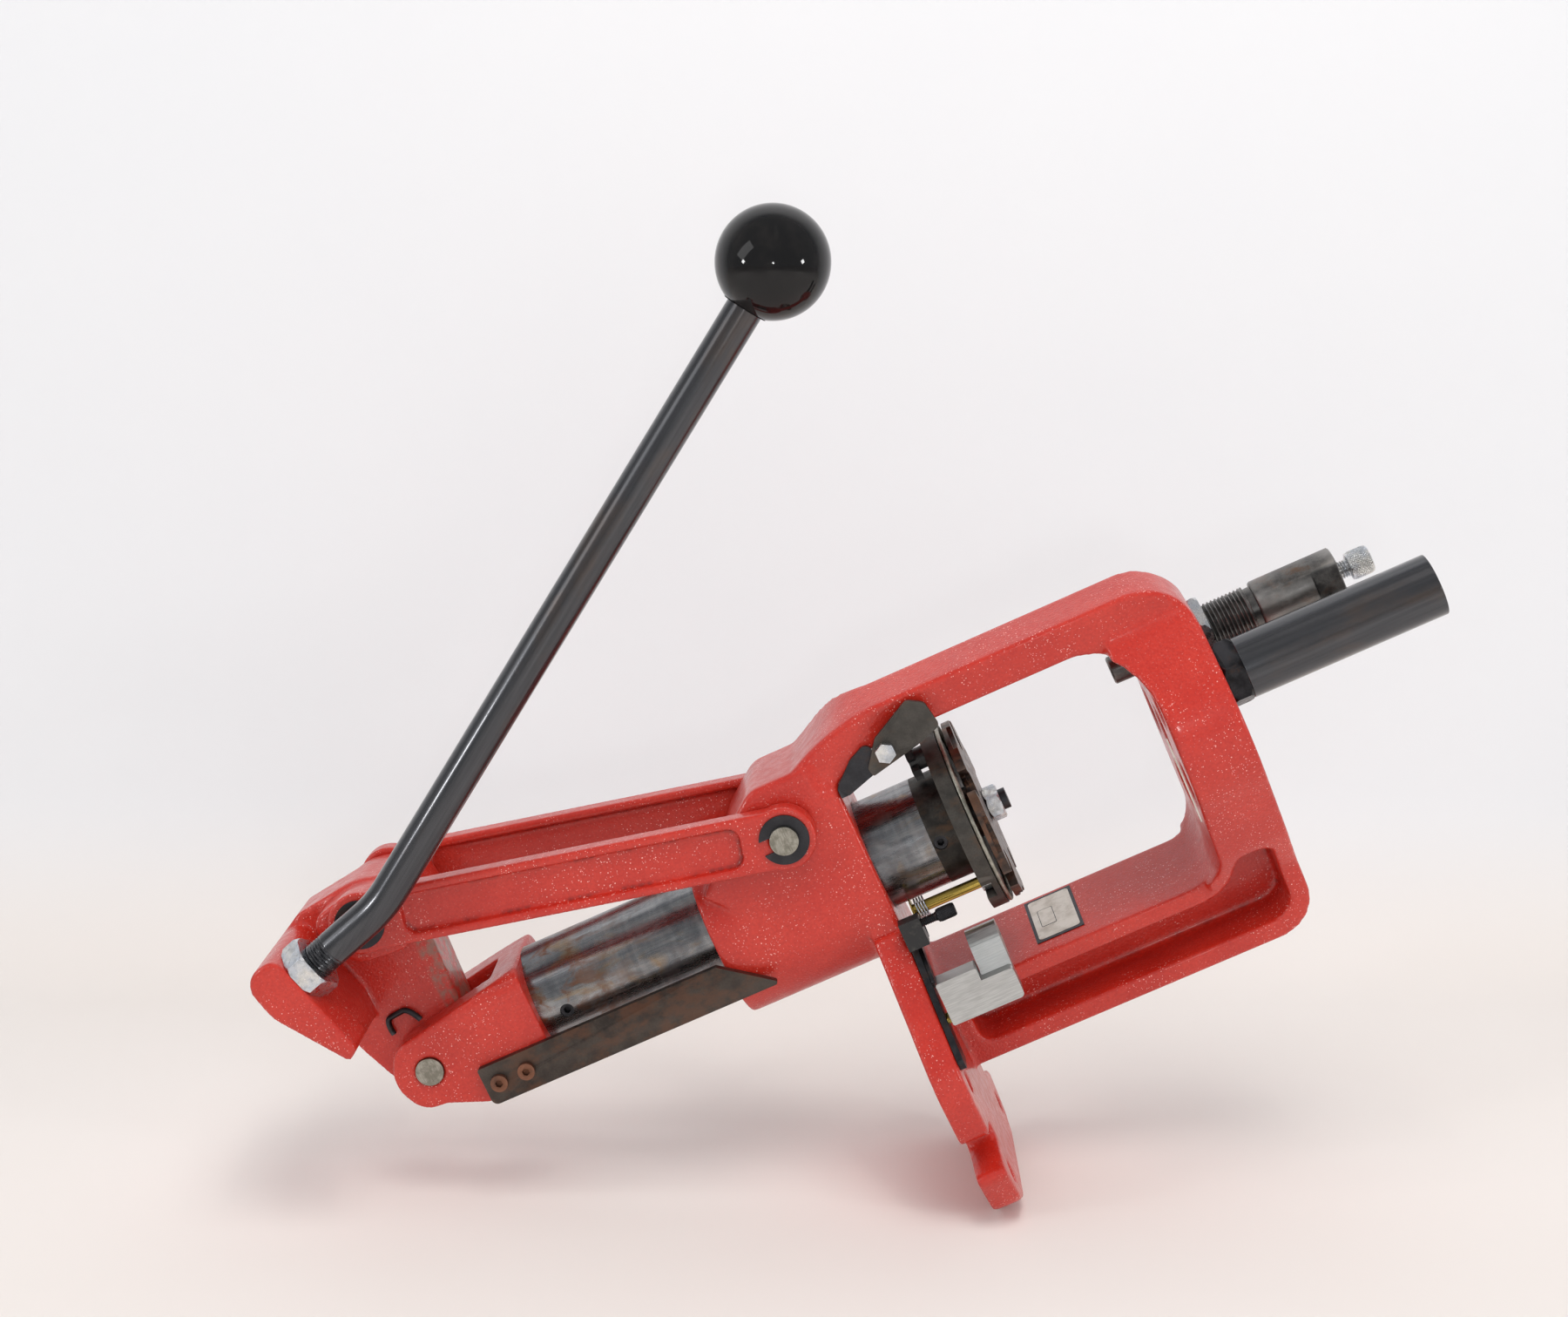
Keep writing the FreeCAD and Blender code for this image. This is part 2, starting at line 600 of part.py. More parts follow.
def index_wheel():
    """Star wheel under the subplate; its spindle and drive disc turn the shell plate."""
    x, y = polar(INDEX_AXIS_R, INDEX_AXIS_ANGLE)
    teeth = []
    for i in range(6):
        tooth = Part.makeBox(8.8, 3.6, 3.4, V(0, -1.8, 0))
        tooth.rotate(V(0, 0, 0), Z_AXIS, 60 * i)
        tooth.translate(V(x, y, 45.6))
        teeth.append(tooth)
    hub = upright(5.0, x, y, 45.6, SUBPLATE_Z[0] - 0.3)
    spindle = upright(3.0, x, y, SUBPLATE_Z[0] - 0.3, SUBPLATE_Z[1] + 0.3)
    return joined(teeth + [hub, spindle])


# ---------------------------------------------------------------- indexing cam on the column
def cam_plate():
    """Dark cam plate bolted to the near side of the operator's column."""
    y1 = -33.0
    upper = side_plate([(-66, 57, 3), (-62, 64, 4), (-50, 66, 2), (-46, 54, 2), (-41, 31, 1), (-45, 30, 2), (-56, 38, 3)],
                       y1 - 3.0, y1)
    return upper.cut(rod(2.2, V(-49, -50, 40), V(-49, -20, 40)))


def cam_bracket():
    lower = side_plate([(-57, 37, 3), (-41, 31, 1), (-36.5, 16.5, 2), (-42, 14.3, 1), (-51, 24, 6)], -32.8, -30.0)
    foot = box((-41.5, -37), (-30.0, -26.0), (14.05, 16.5))
    body = lower.fuse(box((-41.5, -37), (-32.8, -30.0), (14.05, 17))).fuse(foot)
    return body.cut(rod(2.2, V(-49, -50, 40), V(-49, -20, 40))).removeSplitter()


def cam_bolt():
    shank = rod(2.2, V(-49, -36.5, 40), V(-49, -27, 40))
    head = hexagon(8.0, V(-49, -40.5, 40), V(-49, -36.05, 40))
    return joined([shank, head])


# ---------------------------------------------------------------- priming parts by the window
def feed_slide():
    """Flat plate on the deck that the shuttle runs on."""
    outline = [(36, -37.5, 2), (84, -62, 3), (88, -60, 2), (88, -47, 2), (62, -41, 8), (50, -22, 5), (29, -18, 3),
               (29, -30, 2), (36, -30, 2)]
    return plate(outline, FLANGE_T, SLIDE_TOP)


def shuttle():
    """Thin bar with a cup at its inner end; it carries a primer from the feed block to the punch."""
    x, y = SHUTTLE_START
    bar = plate([(-5, -4, 3.9), (26, -4, 1), (26, 4, 1), (-5, 4, 3.9)], SLIDE_TOP + 0.1, SLIDE_TOP + 1.7)
    cup = upright(4.0, 0, 0, SLIDE_TOP + 1.7, SLIDE_TOP + 6.0).cut(upright(2.4, 0, 0, SLIDE_TOP + 4.0, SLIDE_TOP + 7.0))
    body = bar.fuse(cup)
    body.rotate(V(0, 0, 0), Z_AXIS, atan2(SHUTTLE_RUN[1], SHUTTLE_RUN[0]) * 180 / pi)
    body.translate(V(x, y, 0))
    return body


def punch_spring():
    """Turns of the light coil on the punch rod's lower end, one ring each."""
    x, y = PUNCH_XY
    return [Part.makeTorus(PUNCH_R + 1.9, 0.45, V(x, y, PUNCH_BOTTOM + 1.6 + 1.7 * i), Z_AXIS) for i in range(4)]


def spring_washer():
    """Flanged sleeve that holds the coil on the punch rod."""
    x, y = PUNCH_XY
    low = tube(5.8, PUNCH_R, V(x, y, PUNCH_BOTTOM), V(x, y, PUNCH_BOTTOM + 0.7))
    return low


def slide_housing():
    """Small dark block on the deck that carries the knurled stop screw."""
    block = box((22, 35), (-45, -36.9), (FLANGE_T, FLANGE_T + 9.5))
    return block.cut(upright(2.0, *THUMB_SCREW_XY, FLANGE_T + 3, 40))


def thumb_screw():
    x, y = THUMB_SCREW_XY
    shank = upright(2.0, x, y, FLANGE_T + 3, 31)
    return joined([shank, upright(2.8, x, y, FLANGE_T + 11, FLANGE_T + 13), upright(3.1, x, y, 31, 39.5)])


def punch():
    """Brass punch rod hanging from the subplate."""
    x, y = PUNCH_XY
    return upright(PUNCH_R, x, y, PUNCH_BOTTOM, SUBPLATE_Z[1])


def punch_collar():
    x, y = PUNCH_XY
    z0, z1 = PUNCH_COLLAR_Z
    return tube(PUNCH_COLLAR_R - 0.1, PUNCH_R, V(x, y, z0), V(x, y, z1))


def feed_block():
    """Aluminium block over the slide, with an arm that reaches towards the ram."""
    base = side_plate([(49.5, 19, 1), (49.5, 38, 1), (55.5, 38, 0), (55.5, 52.6, 2), (69.5, 52.6, 2), (69.5, 19, 1)],
                      -56, -44)
    arm = plate([(38, -40, 5), (42.5, -46, 3), (58.5, -50, 2), (58.5, -44, 1), (49.5, -33, 4), (39.5, -28, 5)], 38.6, 52.5)
    return joined([base, arm]).cut(upright(2.6, 44, -36, 30, 60))


def feed_posts():
    """Two short spacers that hold the feed block clear of the shuttle."""
    return [upright(1.5, x, y, SLIDE_TOP, 19.0) for x, y in ((67.6, -45.7), (67.6, -51.8))]


def name_plate():
    plate_z = (63.5, 86.5)
    body = box((BENCH_COLUMN[0] - 0.5, BENCH_COLUMN[0]), (-15, 20.6), plate_z)
    return turned(body)


def head_strip():
    body = box((-22, 22), (-48.5, -47.5), (WINDOW_TOP - 0.6, WINDOW_TOP))
    return turned(body)


# ---------------------------------------------------------------- tools in the head
def die_parts():
    x, y = polar(STATION_PITCH_R, STATION_DIE)
    lock = nut(28.6, STATION_R, V(x, y, FRAME_TOP), V(x, y, FRAME_TOP + 5.2), 10)
    body = upright(STATION_R, x, y, WINDOW_TOP + 2, 211)
    body = body.fuse(upright(6.5, x, y, 142.8, WINDOW_TOP + 2))
    body = body.fuse(upright(10.2, x, y, 211, 213.5))
    body = body.fuse(upright(11.8, x, y, 213.5, 251.5))
    for side in (-1, 1):
        y0, y1 = sorted((y + side * 9.8, y + side * 20))
        body = body.cut(box((x - 20, x + 20), (y0, y1), (240, 252)))
    body = body.cut(upright(4.2, x, y, 236, 252))
    stem = upright(4.2, x, y, 236, 256.5)
    knob = upright(6.4, x, y, 256.5, 267)
    return lock, body.removeSplitter(), stem, knob


def tube_parts():
    x, y = polar(STATION_PITCH_R, STATION_TUBE)
    shoulder = FRAME_TOP + 9
    base = upright(STATION_R, x, y, WINDOW_TOP + 4, FRAME_TOP)
    base = base.fuse(nut(27.0, TUBE_BASE_BORE, V(x, y, FRAME_TOP), V(x, y, shoulder), 8))
    base = base.cut(upright(TUBE_BASE_BORE, x, y, WINDOW_TOP, FRAME_TOP + 20))
    sleeve = tube(TUBE_R, TUBE_BORE, V(x, y, shoulder), V(x, y, TUBE_TOP))
    return base.removeSplitter(), sleeve


# ---------------------------------------------------------------- write every piece
os.makedirs("parts", exist_ok=True)

save("frame_casting", frame_casting())
save("near_link", link_side(-1))
save("far_link", link_side(1))
save("link_pivot_pin", pivot_pin())
save("link_pivot_rings", *ring_pair(LINK_PIVOT, PIN_R - 0.6))
save("toggle_pin", toggle_pin())
save("toggle_pin_ends", *link_stubs())
save("toggle_rings", *ring_pair(TOGGLE_PIVOT, PIN_R - 0.6))
save("lever_block", lever_block())
save("handle_rod", handle_rod())
save("handle_jam_nut", jam_nut())
save("ball_knob", ball_knob())
save("hairpin_clip", hairpin_clip())
save("ram", ram())
save("ram_set_screws", *ram_set_screws())
save("ram_clevis", clevis())
save("clevis_bolt", clevis_bolt())
save("clevis_pin", clevis_pin())
save("guide_bar", guide_bar())
save("guide_bar_screws", *bar_screws())
save("subplate", subplate())
save("shell_plate", shell_plate())
save("shell_retainer", shell_retainer())
save("centre_stud", centre_stud())
save("centre_nut", centre_nut())
save("index_wheel", index_wheel())
save("cam_plate", cam_plate())
save("cam_bracket", cam_bracket())
save("cam_bolt", cam_bolt())
save("feed_slide", feed_slide())
save("shuttle", shuttle())
save("slide_housing", slide_housing())
save("thumb_screw", thumb_screw())
save("punch_rod", punch())
save("punch_spring", *punch_spring())
save("spring_washer", spring_washer())
save("punch_collar", punch_collar())
save("feed_block", feed_block())
save("feed_block_posts", *feed_posts())
save("name_plate", name_plate())
save("head_strip", head_strip())
lock_nut, die_body, die_stem, die_knob = die_parts()
save("die_lock_nut", lock_nut)
save("die_body", die_body)
save("die_stem", die_stem)
save("die_knob", die_knob)
tube_base, shield_tube = tube_parts()
save("tube_base", tube_base)
save("shield_tube", shield_tube)
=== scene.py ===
import json
from math import atan2, cos, pi, radians, sin, tan

import bmesh
import bpy
from mathutils import Matrix, Vector


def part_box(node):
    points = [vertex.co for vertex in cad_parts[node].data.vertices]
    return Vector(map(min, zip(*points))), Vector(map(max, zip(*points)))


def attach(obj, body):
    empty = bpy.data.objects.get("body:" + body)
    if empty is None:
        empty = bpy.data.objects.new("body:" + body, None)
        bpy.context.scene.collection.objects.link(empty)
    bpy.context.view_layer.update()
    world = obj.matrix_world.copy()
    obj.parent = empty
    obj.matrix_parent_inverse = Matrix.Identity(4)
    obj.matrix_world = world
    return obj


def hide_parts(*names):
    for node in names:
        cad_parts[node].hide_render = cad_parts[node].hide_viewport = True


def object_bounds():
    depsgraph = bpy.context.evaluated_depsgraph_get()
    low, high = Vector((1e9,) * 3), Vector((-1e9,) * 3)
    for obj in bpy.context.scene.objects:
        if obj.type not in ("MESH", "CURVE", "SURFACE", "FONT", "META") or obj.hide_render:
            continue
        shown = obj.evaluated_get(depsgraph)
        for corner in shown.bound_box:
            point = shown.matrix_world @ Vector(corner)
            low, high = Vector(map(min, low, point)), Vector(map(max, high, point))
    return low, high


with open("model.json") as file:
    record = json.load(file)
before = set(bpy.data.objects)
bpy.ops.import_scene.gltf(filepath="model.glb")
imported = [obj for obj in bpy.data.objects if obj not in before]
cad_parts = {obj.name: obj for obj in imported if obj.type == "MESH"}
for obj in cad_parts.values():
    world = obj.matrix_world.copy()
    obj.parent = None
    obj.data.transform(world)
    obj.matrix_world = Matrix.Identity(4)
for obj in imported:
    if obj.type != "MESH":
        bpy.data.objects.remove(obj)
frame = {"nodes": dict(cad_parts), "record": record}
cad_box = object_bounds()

# Looks of the bench press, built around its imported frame. Metres; MM turns millimetres into metres.
# Row frame: +Z along the ram, +X over the bench, -Y the side of the handle.

MM = 0.001
NODES = frame["nodes"]
BODY = {}
for body_name, members in frame["record"]["behaviour"]["bodies"].items():
    for member in members:
        BODY[member] = body_name


def centre(node):
    low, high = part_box(node)
    return (low + high) / 2


RAM = centre("ram")                               # the ram's axis passes through its box's middle
AXIS_X, AXIS_Y = RAM.x, 0.0


def row(x, y, z):
    """Point given in millimetres from the ram's axis and the flange's underside, in the row frame."""
    return Vector((AXIS_X + x * MM, AXIS_Y + y * MM, z * MM))


# ================================================================ materials
class Paint:
    """A Principled material with short helpers for its nodes."""

    def __init__(self, name, metallic=0.0, roughness=0.4, **sockets):
        self.material = bpy.data.materials.new(name)
        self.material.use_nodes = True
        self.tree = self.material.node_tree
        self.tree.nodes.clear()
        self.shader = self.tree.nodes.new("ShaderNodeBsdfPrincipled")
        out = self.tree.nodes.new("ShaderNodeOutputMaterial")
        self.tree.links.new(self.shader.outputs[0], out.inputs[0])
        self.shader.inputs["Metallic"].default_value = metallic
        self.shader.inputs["Roughness"].default_value = roughness
        for socket, value in sockets.items():
            self.shader.inputs[socket.replace("_", " ")].default_value = value
        self.place = self.tree.nodes.new("ShaderNodeTexCoord").outputs["Object"]

    def put(self, socket, value):
        """Link or set one input of any node."""
        if hasattr(value, "is_linked"):
            self.tree.links.new(value, socket)
        else:
            socket.default_value = value

    def leaned(self, angle):
        """Object space turned about Y, so that a leaning bar lies along Z."""
        node = self.tree.nodes.new("ShaderNodeMapping")
        self.put(node.inputs["Vector"], self.place)
        node.inputs["Rotation"].default_value = (0, angle, 0)
        return node.outputs[0]

    def stretched(self, scale, offset=(0, 0, 0), where=None):
        """Space scaled along each axis; a small number draws the pattern out along that axis."""
        node = self.tree.nodes.new("ShaderNodeMapping")
        self.put(node.inputs["Vector"], where or self.place)
        node.inputs["Location"].default_value = offset
        node.inputs["Scale"].default_value = scale
        return node.outputs[0]

    def noise(self, size, detail=3.0, rough=0.55, where=None, distortion=0.0):
        """Noise whose features are about `size` metres across."""
        node = self.tree.nodes.new("ShaderNodeTexNoise")
        self.put(node.inputs["Vector"], where or self.place)
        node.inputs["Scale"].default_value = 1 / size
        node.inputs["Detail"].default_value = detail
        node.inputs["Roughness"].default_value = rough
        node.inputs["Distortion"].default_value = distortion
        return node.outputs["Fac"]

    def cells(self, size, feature="F1", output="Distance"):
        """Voronoi cells about `size` metres apart."""
        node = self.tree.nodes.new("ShaderNodeTexVoronoi")
        node.feature = feature
        self.put(node.inputs["Vector"], self.place)
        node.inputs["Scale"].default_value = 1 / size
        return node.outputs[output]

    def math(self, operation, a, b):
        node = self.tree.nodes.new("ShaderNodeMath")
        node.operation = operation
        self.put(node.inputs[0], a)
        self.put(node.inputs[1], b)
        return node.outputs[0]

    def ramp(self, value, low, high, out_low=0.0, out_high=1.0):
        """Smooth step from out_low to out_high as value goes from low to high."""
        node = self.tree.nodes.new("ShaderNodeMapRange")
        node.interpolation_type = "SMOOTHSTEP"
        self.put(node.inputs["Value"], value)
        limits = {"From Min": low, "From Max": high, "To Min": out_low, "To Max": out_high}
        for name, number in limits.items():
            node.inputs[name].default_value = number
        return node.outputs[0]

    def mix(self, factor, a, b):
        """Colour going from a to b as factor goes from 0 to 1."""
        node = self.tree.nodes.new("ShaderNodeMix")
        node.data_type = "RGBA"
        self.put(node.inputs[0], factor)
        self.put(node.inputs[6], a if hasattr(a, "is_linked") else (*a, 1.0))
        self.put(node.inputs[7], b if hasattr(b, "is_linked") else (*b, 1.0))
        return node.outputs[2]

    def split(self, vector=None):
        node = self.tree.nodes.new("ShaderNodeSeparateXYZ")
        self.put(node.inputs[0], vector or self.place)
        return node.outputs

    def pointiness(self, low, high):
        """Smooth step on how far the surface stands out; hollows are below 0.5, edges above it."""
        node = self.tree.nodes.new("ShaderNodeNewGeometry")
        return self.ramp(node.outputs["Pointiness"], low, high)

    def colour(self, value):
        self.put(self.shader.inputs["Base Color"], value if hasattr(value, "is_linked") else (*value, 1.0))

    def rough(self, value):
        self.put(self.shader.inputs["Roughness"], value)

    def bump(self, height, depth, strength):
        """Bump of `depth` metres; several calls stack."""
        node = self.tree.nodes.new("ShaderNodeBump")
        node.inputs["Strength"].default_value = strength
        node.inputs["Distance"].default_value = depth
        self.put(node.inputs["Height"], height)
        old = self.shader.inputs["Normal"]
        if old.is_linked:
            self.tree.links.new(old.links[0].from_socket, node.inputs["Normal"])
        self.tree.links.new(node.outputs[0], old)


def within(paint, value, low, high, soft):
    """1 where value is between low and high, with soft edges."""
    rise = paint.ramp(value, low - soft, low + soft)
    fall = paint.ramp(value, high - soft, high + soft, 1.0, 0.0)
    return paint.math("MULTIPLY", rise, fall)


def powder_coat(name, worn_zones=()):
    """Red wrinkle coat with painted glints and painted shade in its hollows, rubbed off inside worn_zones:
    (low, high) boxes.
    """
    p = Paint(name, roughness=0.36, Coat_Weight=0.30, Coat_Roughness=0.10)
    broad = p.noise(38 * MM, 4)
    fine = p.noise(1.2 * MM, 2)
    base = p.mix(p.ramp(broad, 0.35, 0.7), (0.52, 0.022, 0.011), (0.60, 0.034, 0.018))
    base = p.mix(p.ramp(fine, 0.3, 0.75, 0.0, 0.42), base, (0.36, 0.008, 0.005))
    # Painted glints: light pink specks put into the coat's colour where the wrinkle facets would catch the
    # lamps, in patches.
    glint_patches = p.ramp(p.noise(26 * MM, 3, 0.6), 0.40, 0.62, 0.12, 1.0)
    for size, share in ((0.75 * MM, 0.79), (1.1 * MM, 0.87)):
        glint_dot = p.ramp(p.cells(size), 0.18, 0.34, 1.0, 0.0)
        glint_pick = p.ramp(p.split(p.cells(size, output="Color"))[0], share, share + 0.05)
        painted_glint = p.math("MULTIPLY", p.math("MULTIPLY", glint_dot, glint_pick), glint_patches)
        base = p.mix(p.math("MULTIPLY", painted_glint, 0.75), base, (1.0, 0.60, 0.55))
    # Painted shade: the coat darkened to deep red in its hollows, broken up by noise.
    hollow_shade = p.math("MULTIPLY", p.pointiness(0.493, 0.462), p.ramp(p.noise(9 * MM, 4), 0.42, 0.62))
    base = p.mix(p.math("MULTIPLY", hollow_shade, 0.6), base, (0.085, 0.008, 0.008))
    for low, high in worn_zones:
        mask = 1.0
        for axis, place in enumerate(p.split()):
            mask = p.math("MULTIPLY", mask, within(p, place, low[axis], high[axis], 1.2 * MM))
        patchy = p.ramp(p.noise(7 * MM, 5, 0.65), 0.40, 0.60)
        rubbed = p.mix(p.noise(3 * MM, 4), (0.20, 0.085, 0.062), (0.36, 0.17, 0.13))
        base = p.mix(p.math("MULTIPLY", mask, patchy), base, rubbed)
    p.colour(base)
    p.rough(p.ramp(p.noise(5 * MM, 3), 0.3, 0.7, 0.30, 0.44))
    p.bump(p.cells(0.95 * MM, "SMOOTH_F1"), 0.26 * MM, 0.6)
    p.bump(p.noise(6 * MM, 3), 0.22 * MM, 0.45)
    return p.material


def oiled_steel():
    """Turned ram: lengthwise oil streaks, gold and brown stains, faint turning rings and scratches."""
    p = Paint("oiled_steel", metallic=1.0, roughness=0.3)
    streak = p.noise(3.2 * MM, 4, 0.6, p.stretched((1, 1, 0.045)))
    streak_fine = p.noise(0.7 * MM, 2, 0.6, p.stretched((1, 1, 0.03)))
    cloud = p.noise(17 * MM, 5, 0.6, p.stretched((1, 1, 0.7)), 0.6)
    gold = p.noise(13 * MM, 4, 0.6, p.stretched((1, 1, 0.5), (0.31, 0.17, 0.05)), 0.8)
    rust = p.noise(10 * MM, 5, 0.68, p.stretched((1, 1, 0.6), (0.11, 0.43, 0.27)), 0.5)
    band = p.noise(3.0 * MM, 3, 0.5, p.stretched((0.03, 0.03, 1)))
    base = p.mix(p.ramp(streak, 0.3, 0.72), (0.175, 0.182, 0.195), (0.33, 0.335, 0.34))
    base = p.mix(p.ramp(band, 0.35, 0.7, 0.0, 0.35), base, (0.45, 0.45, 0.45))
    base = p.mix(p.ramp(cloud, 0.42, 0.68, 0.0, 0.60), base, (0.080, 0.088, 0.102))
    base = p.mix(p.ramp(gold, 0.52, 0.72, 0.0, 0.60), base, (0.33, 0.205, 0.085))
    height = p.split()[2]
    low_end = p.ramp(height, -0.148, -0.09, 1.0, 0.12)
    base = p.mix(p.math("MULTIPLY", p.ramp(rust, 0.48, 0.64), low_end), base, (0.20, 0.085, 0.040))
    p.colour(base)
    smear = p.ramp(streak_fine, 0.3, 0.7, 0.20, 0.32)
    p.rough(p.math("ADD", smear, p.ramp(rust, 0.45, 0.7, 0.0, 0.14)))
    p.bump(p.noise(0.5 * MM, 2, 0.5, p.stretched((0.08, 0.08, 1))), 0.012 * MM, 0.3)
    return p.material


def dark_steel(name, deep, pale, rust_colour, rust_share, rough_low, rough_high, grain):
    """Blackened or scaled steel with mottling, a little rust and rubbed edges."""
    p = Paint(name, metallic=0.9)
    mottled = p.noise(6 * MM, 5, 0.65)
    fine = p.noise(grain * MM, 3, 0.6)
    base = p.mix(p.ramp(mottled, 0.33, 0.68), deep, pale)
    base = p.mix(p.ramp(fine, 0.35, 0.7, 0.0, 0.4), base, deep)
    blotch = p.noise(9 * MM, 5, 0.7, p.stretched((1, 1, 0.6), (0.2, 0.6, 0.1)))
    stain = p.ramp(blotch, 0.62 - rust_share, 0.82 - rust_share)
    base = p.mix(p.math("MULTIPLY", stain, 0.8), base, rust_colour)
    rubbed = tuple(3 * c for c in pale)
    base = p.mix(p.math("MULTIPLY", p.pointiness(0.52, 0.58), 0.5), base, rubbed)
    p.colour(base)
    p.rough(p.ramp(p.noise(3 * MM, 3), 0.3, 0.7, rough_low, rough_high))
    p.bump(fine, 0.05 * MM, 0.5)
    return p.material


def black_oxide(name, lean, brown_share):
    """Black oxide bar or tube: satin, faint drawn lines along it, brown where it is handled."""
    p = Paint(name, metallic=0.75, Coat_Weight=0.35, Coat_Roughness=0.07)
    along = p.stretched((1, 1, 0.02), where=p.leaned(lean))
    drawn = p.noise(1.3 * MM, 3, 0.55, along)
    brown = p.noise(20 * MM, 4, 0.6, p.stretched((1, 1, 0.3), where=p.leaned(lean)))
    base = p.mix(p.ramp(drawn, 0.3, 0.75), (0.052, 0.054, 0.060), (0.076, 0.078, 0.085))
    base = p.mix(p.ramp(brown, 0.5, 0.75, 0.0, brown_share), base, (0.135, 0.085, 0.055))
    p.colour(base)
    p.rough(p.ramp(p.noise(5 * MM, 3), 0.3, 0.7, 0.21, 0.25))
    return p.material


def ball_black():
    p = Paint("ball_black", roughness=0.08, Specular_IOR_Level=0.34)
    smudge = p.noise(11 * MM, 4, 0.6)
    p.colour(p.mix(p.ramp(smudge, 0.4, 0.7), (0.0045, 0.0045, 0.005), (0.010, 0.009, 0.009)))
    p.rough(p.ramp(smudge, 0.35, 0.75, 0.05, 0.10))
    return p.material


def zinc():
    p = Paint("zinc", metallic=1.0)
    tint = p.noise(7 * MM, 3, 0.5)
    base = p.mix(p.ramp(tint, 0.35, 0.7), (0.58, 0.62, 0.68), (0.76, 0.75, 0.72))
    dull = p.noise(2.2 * MM, 4, 0.6)
    base = p.mix(p.ramp(dull, 0.45, 0.75, 0.0, 0.5), base, (0.30, 0.31, 0.32))
    p.colour(base)
    p.rough(p.ramp(dull, 0.3, 0.7, 0.20, 0.42))
    p.bump(p.noise(0.8 * MM, 2), 0.02 * MM, 0.4)
    return p.material


def ground_pin():
    p = Paint("ground_pin", metallic=1.0)
    tarnish = p.noise(3.4 * MM, 5, 0.65)
    line = p.noise(0.5 * MM, 2, 0.5, p.stretched((0.12, 1, 1)))
    base = p.mix(p.ramp(tarnish, 0.35, 0.65), (0.25, 0.24, 0.20), (0.46, 0.44, 0.38))
    base = p.mix(p.ramp(line, 0.4, 0.7, 0.0, 0.4), base, (0.15, 0.14, 0.12))
    p.colour(base)
    p.rough(p.ramp(tarnish, 0.3, 0.7, 0.30, 0.50))
    p.bump(line, 0.03 * MM, 0.4)
    return p.material


def brass():
    p = Paint("brass", metallic=1.0)
    oil = p.noise(5 * MM, 4, 0.6, p.stretched((1, 1, 0.2)))
    p.colour(p.mix(p.ramp(oil, 0.35, 0.7), (0.52, 0.37, 0.085), (0.28, 0.20, 0.05)))
    p.rough(p.ramp(oil, 0.3, 0.7, 0.20, 0.36))
    p.bump(p.noise(0.6 * MM, 2), 0.01 * MM, 0.3)
    return p.material


def milled_aluminium():
    p = Paint("milled_aluminium", metallic=1.0)
    grain = p.noise(0.55 * MM, 3, 0.6, p.stretched((1, 1, 0.06)))
    patch = p.noise(14 * MM, 3)
    base = p.mix(p.ramp(grain, 0.3, 0.7), (0.44, 0.45, 0.445), (0.60, 0.61, 0.60))
    base = p.mix(p.ramp(patch, 0.45, 0.7, 0.0, 0.35), base, (0.36, 0.36, 0.35))
    p.colour(base)
    p.rough(p.ramp(grain, 0.3, 0.7, 0.30, 0.46))
    p.bump(grain, 0.03 * MM, 0.5)
    return p.material


def black_nylon():
    p = Paint("black_nylon", roughness=0.45)
    dust = p.noise(2.5 * MM, 4, 0.6)
    p.colour(p.mix(p.ramp(dust, 0.5, 0.8), (0.012, 0.012, 0.013), (0.06, 0.055, 0.05)))
    p.rough(p.ramp(dust, 0.3, 0.7, 0.34, 0.55))
    p.bump(p.noise(0.7 * MM, 2), 0.03 * MM, 0.4)
    return p.material


def label_face():
    p = Paint("label_face", metallic=0.55)
    age = p.noise(6 * MM, 4, 0.6)
    brushed = p.noise(0.4 * MM, 2, 0.5, p.stretched((1, 1, 0.05)))
    base = p.mix(p.ramp(age, 0.4, 0.7), (0.66, 0.62, 0.56), (0.50, 0.46, 0.40))
    base = p.mix(p.ramp(brushed, 0.4, 0.7, 0.0, 0.3), base, (0.74, 0.71, 0.66))
    p.colour(base)
    p.rough(p.ramp(age, 0.3, 0.7, 0.34, 0.5))
    return p.material


HUB_WORN = (row(-58, -60, -250), row(-34, -40, -228))
WEB_EDGE_WORN = (row(-56, -15, -190), row(0, 15, -178))
RED = powder_coat("red_coat")
RED_LEVER = powder_coat("red_coat_rubbed", [WEB_EDGE_WORN, HUB_WORN])
OILED = oiled_steel()
STEELS = {
    # name: deep, pale, rust colour, rust share, lowest and highest roughness, grain in millimetres
    "blued": ((0.014, 0.014, 0.016), (0.040, 0.040, 0.044), (0.08, 0.04, 0.025), 0.08, 0.28, 0.46, 0.6),
    "scaled_plate": ((0.030, 0.028, 0.026), (0.085, 0.079, 0.071), (0.10, 0.058, 0.036), 0.12, 0.40, 0.60, 0.9),
    "sawn_bar": ((0.030, 0.026, 0.024), (0.080, 0.068, 0.059), (0.115, 0.055, 0.034), 0.20, 0.40, 0.58, 0.8),
    "shell_plate_steel": ((0.024, 0.021, 0.021), (0.080, 0.062, 0.053), (0.18, 0.085, 0.05), 0.20, 0.28,
                          0.5, 0.6),
    "die_steel": ((0.085, 0.083, 0.082), (0.200, 0.194, 0.186), (0.17, 0.10, 0.065), 0.10, 0.30, 0.46, 0.6),
    "rusty_heads": ((0.060, 0.032, 0.024), (0.150, 0.078, 0.055), (0.22, 0.095, 0.055), 0.30, 0.40, 0.60, 0.6),
}
BLUED, PLATE, BAR, SHELL, DIE_STEEL, RUSTY = [dark_steel(name, *looks) for name, looks in STEELS.items()]
ROD_BEND = row(-80.5, -58, -183)
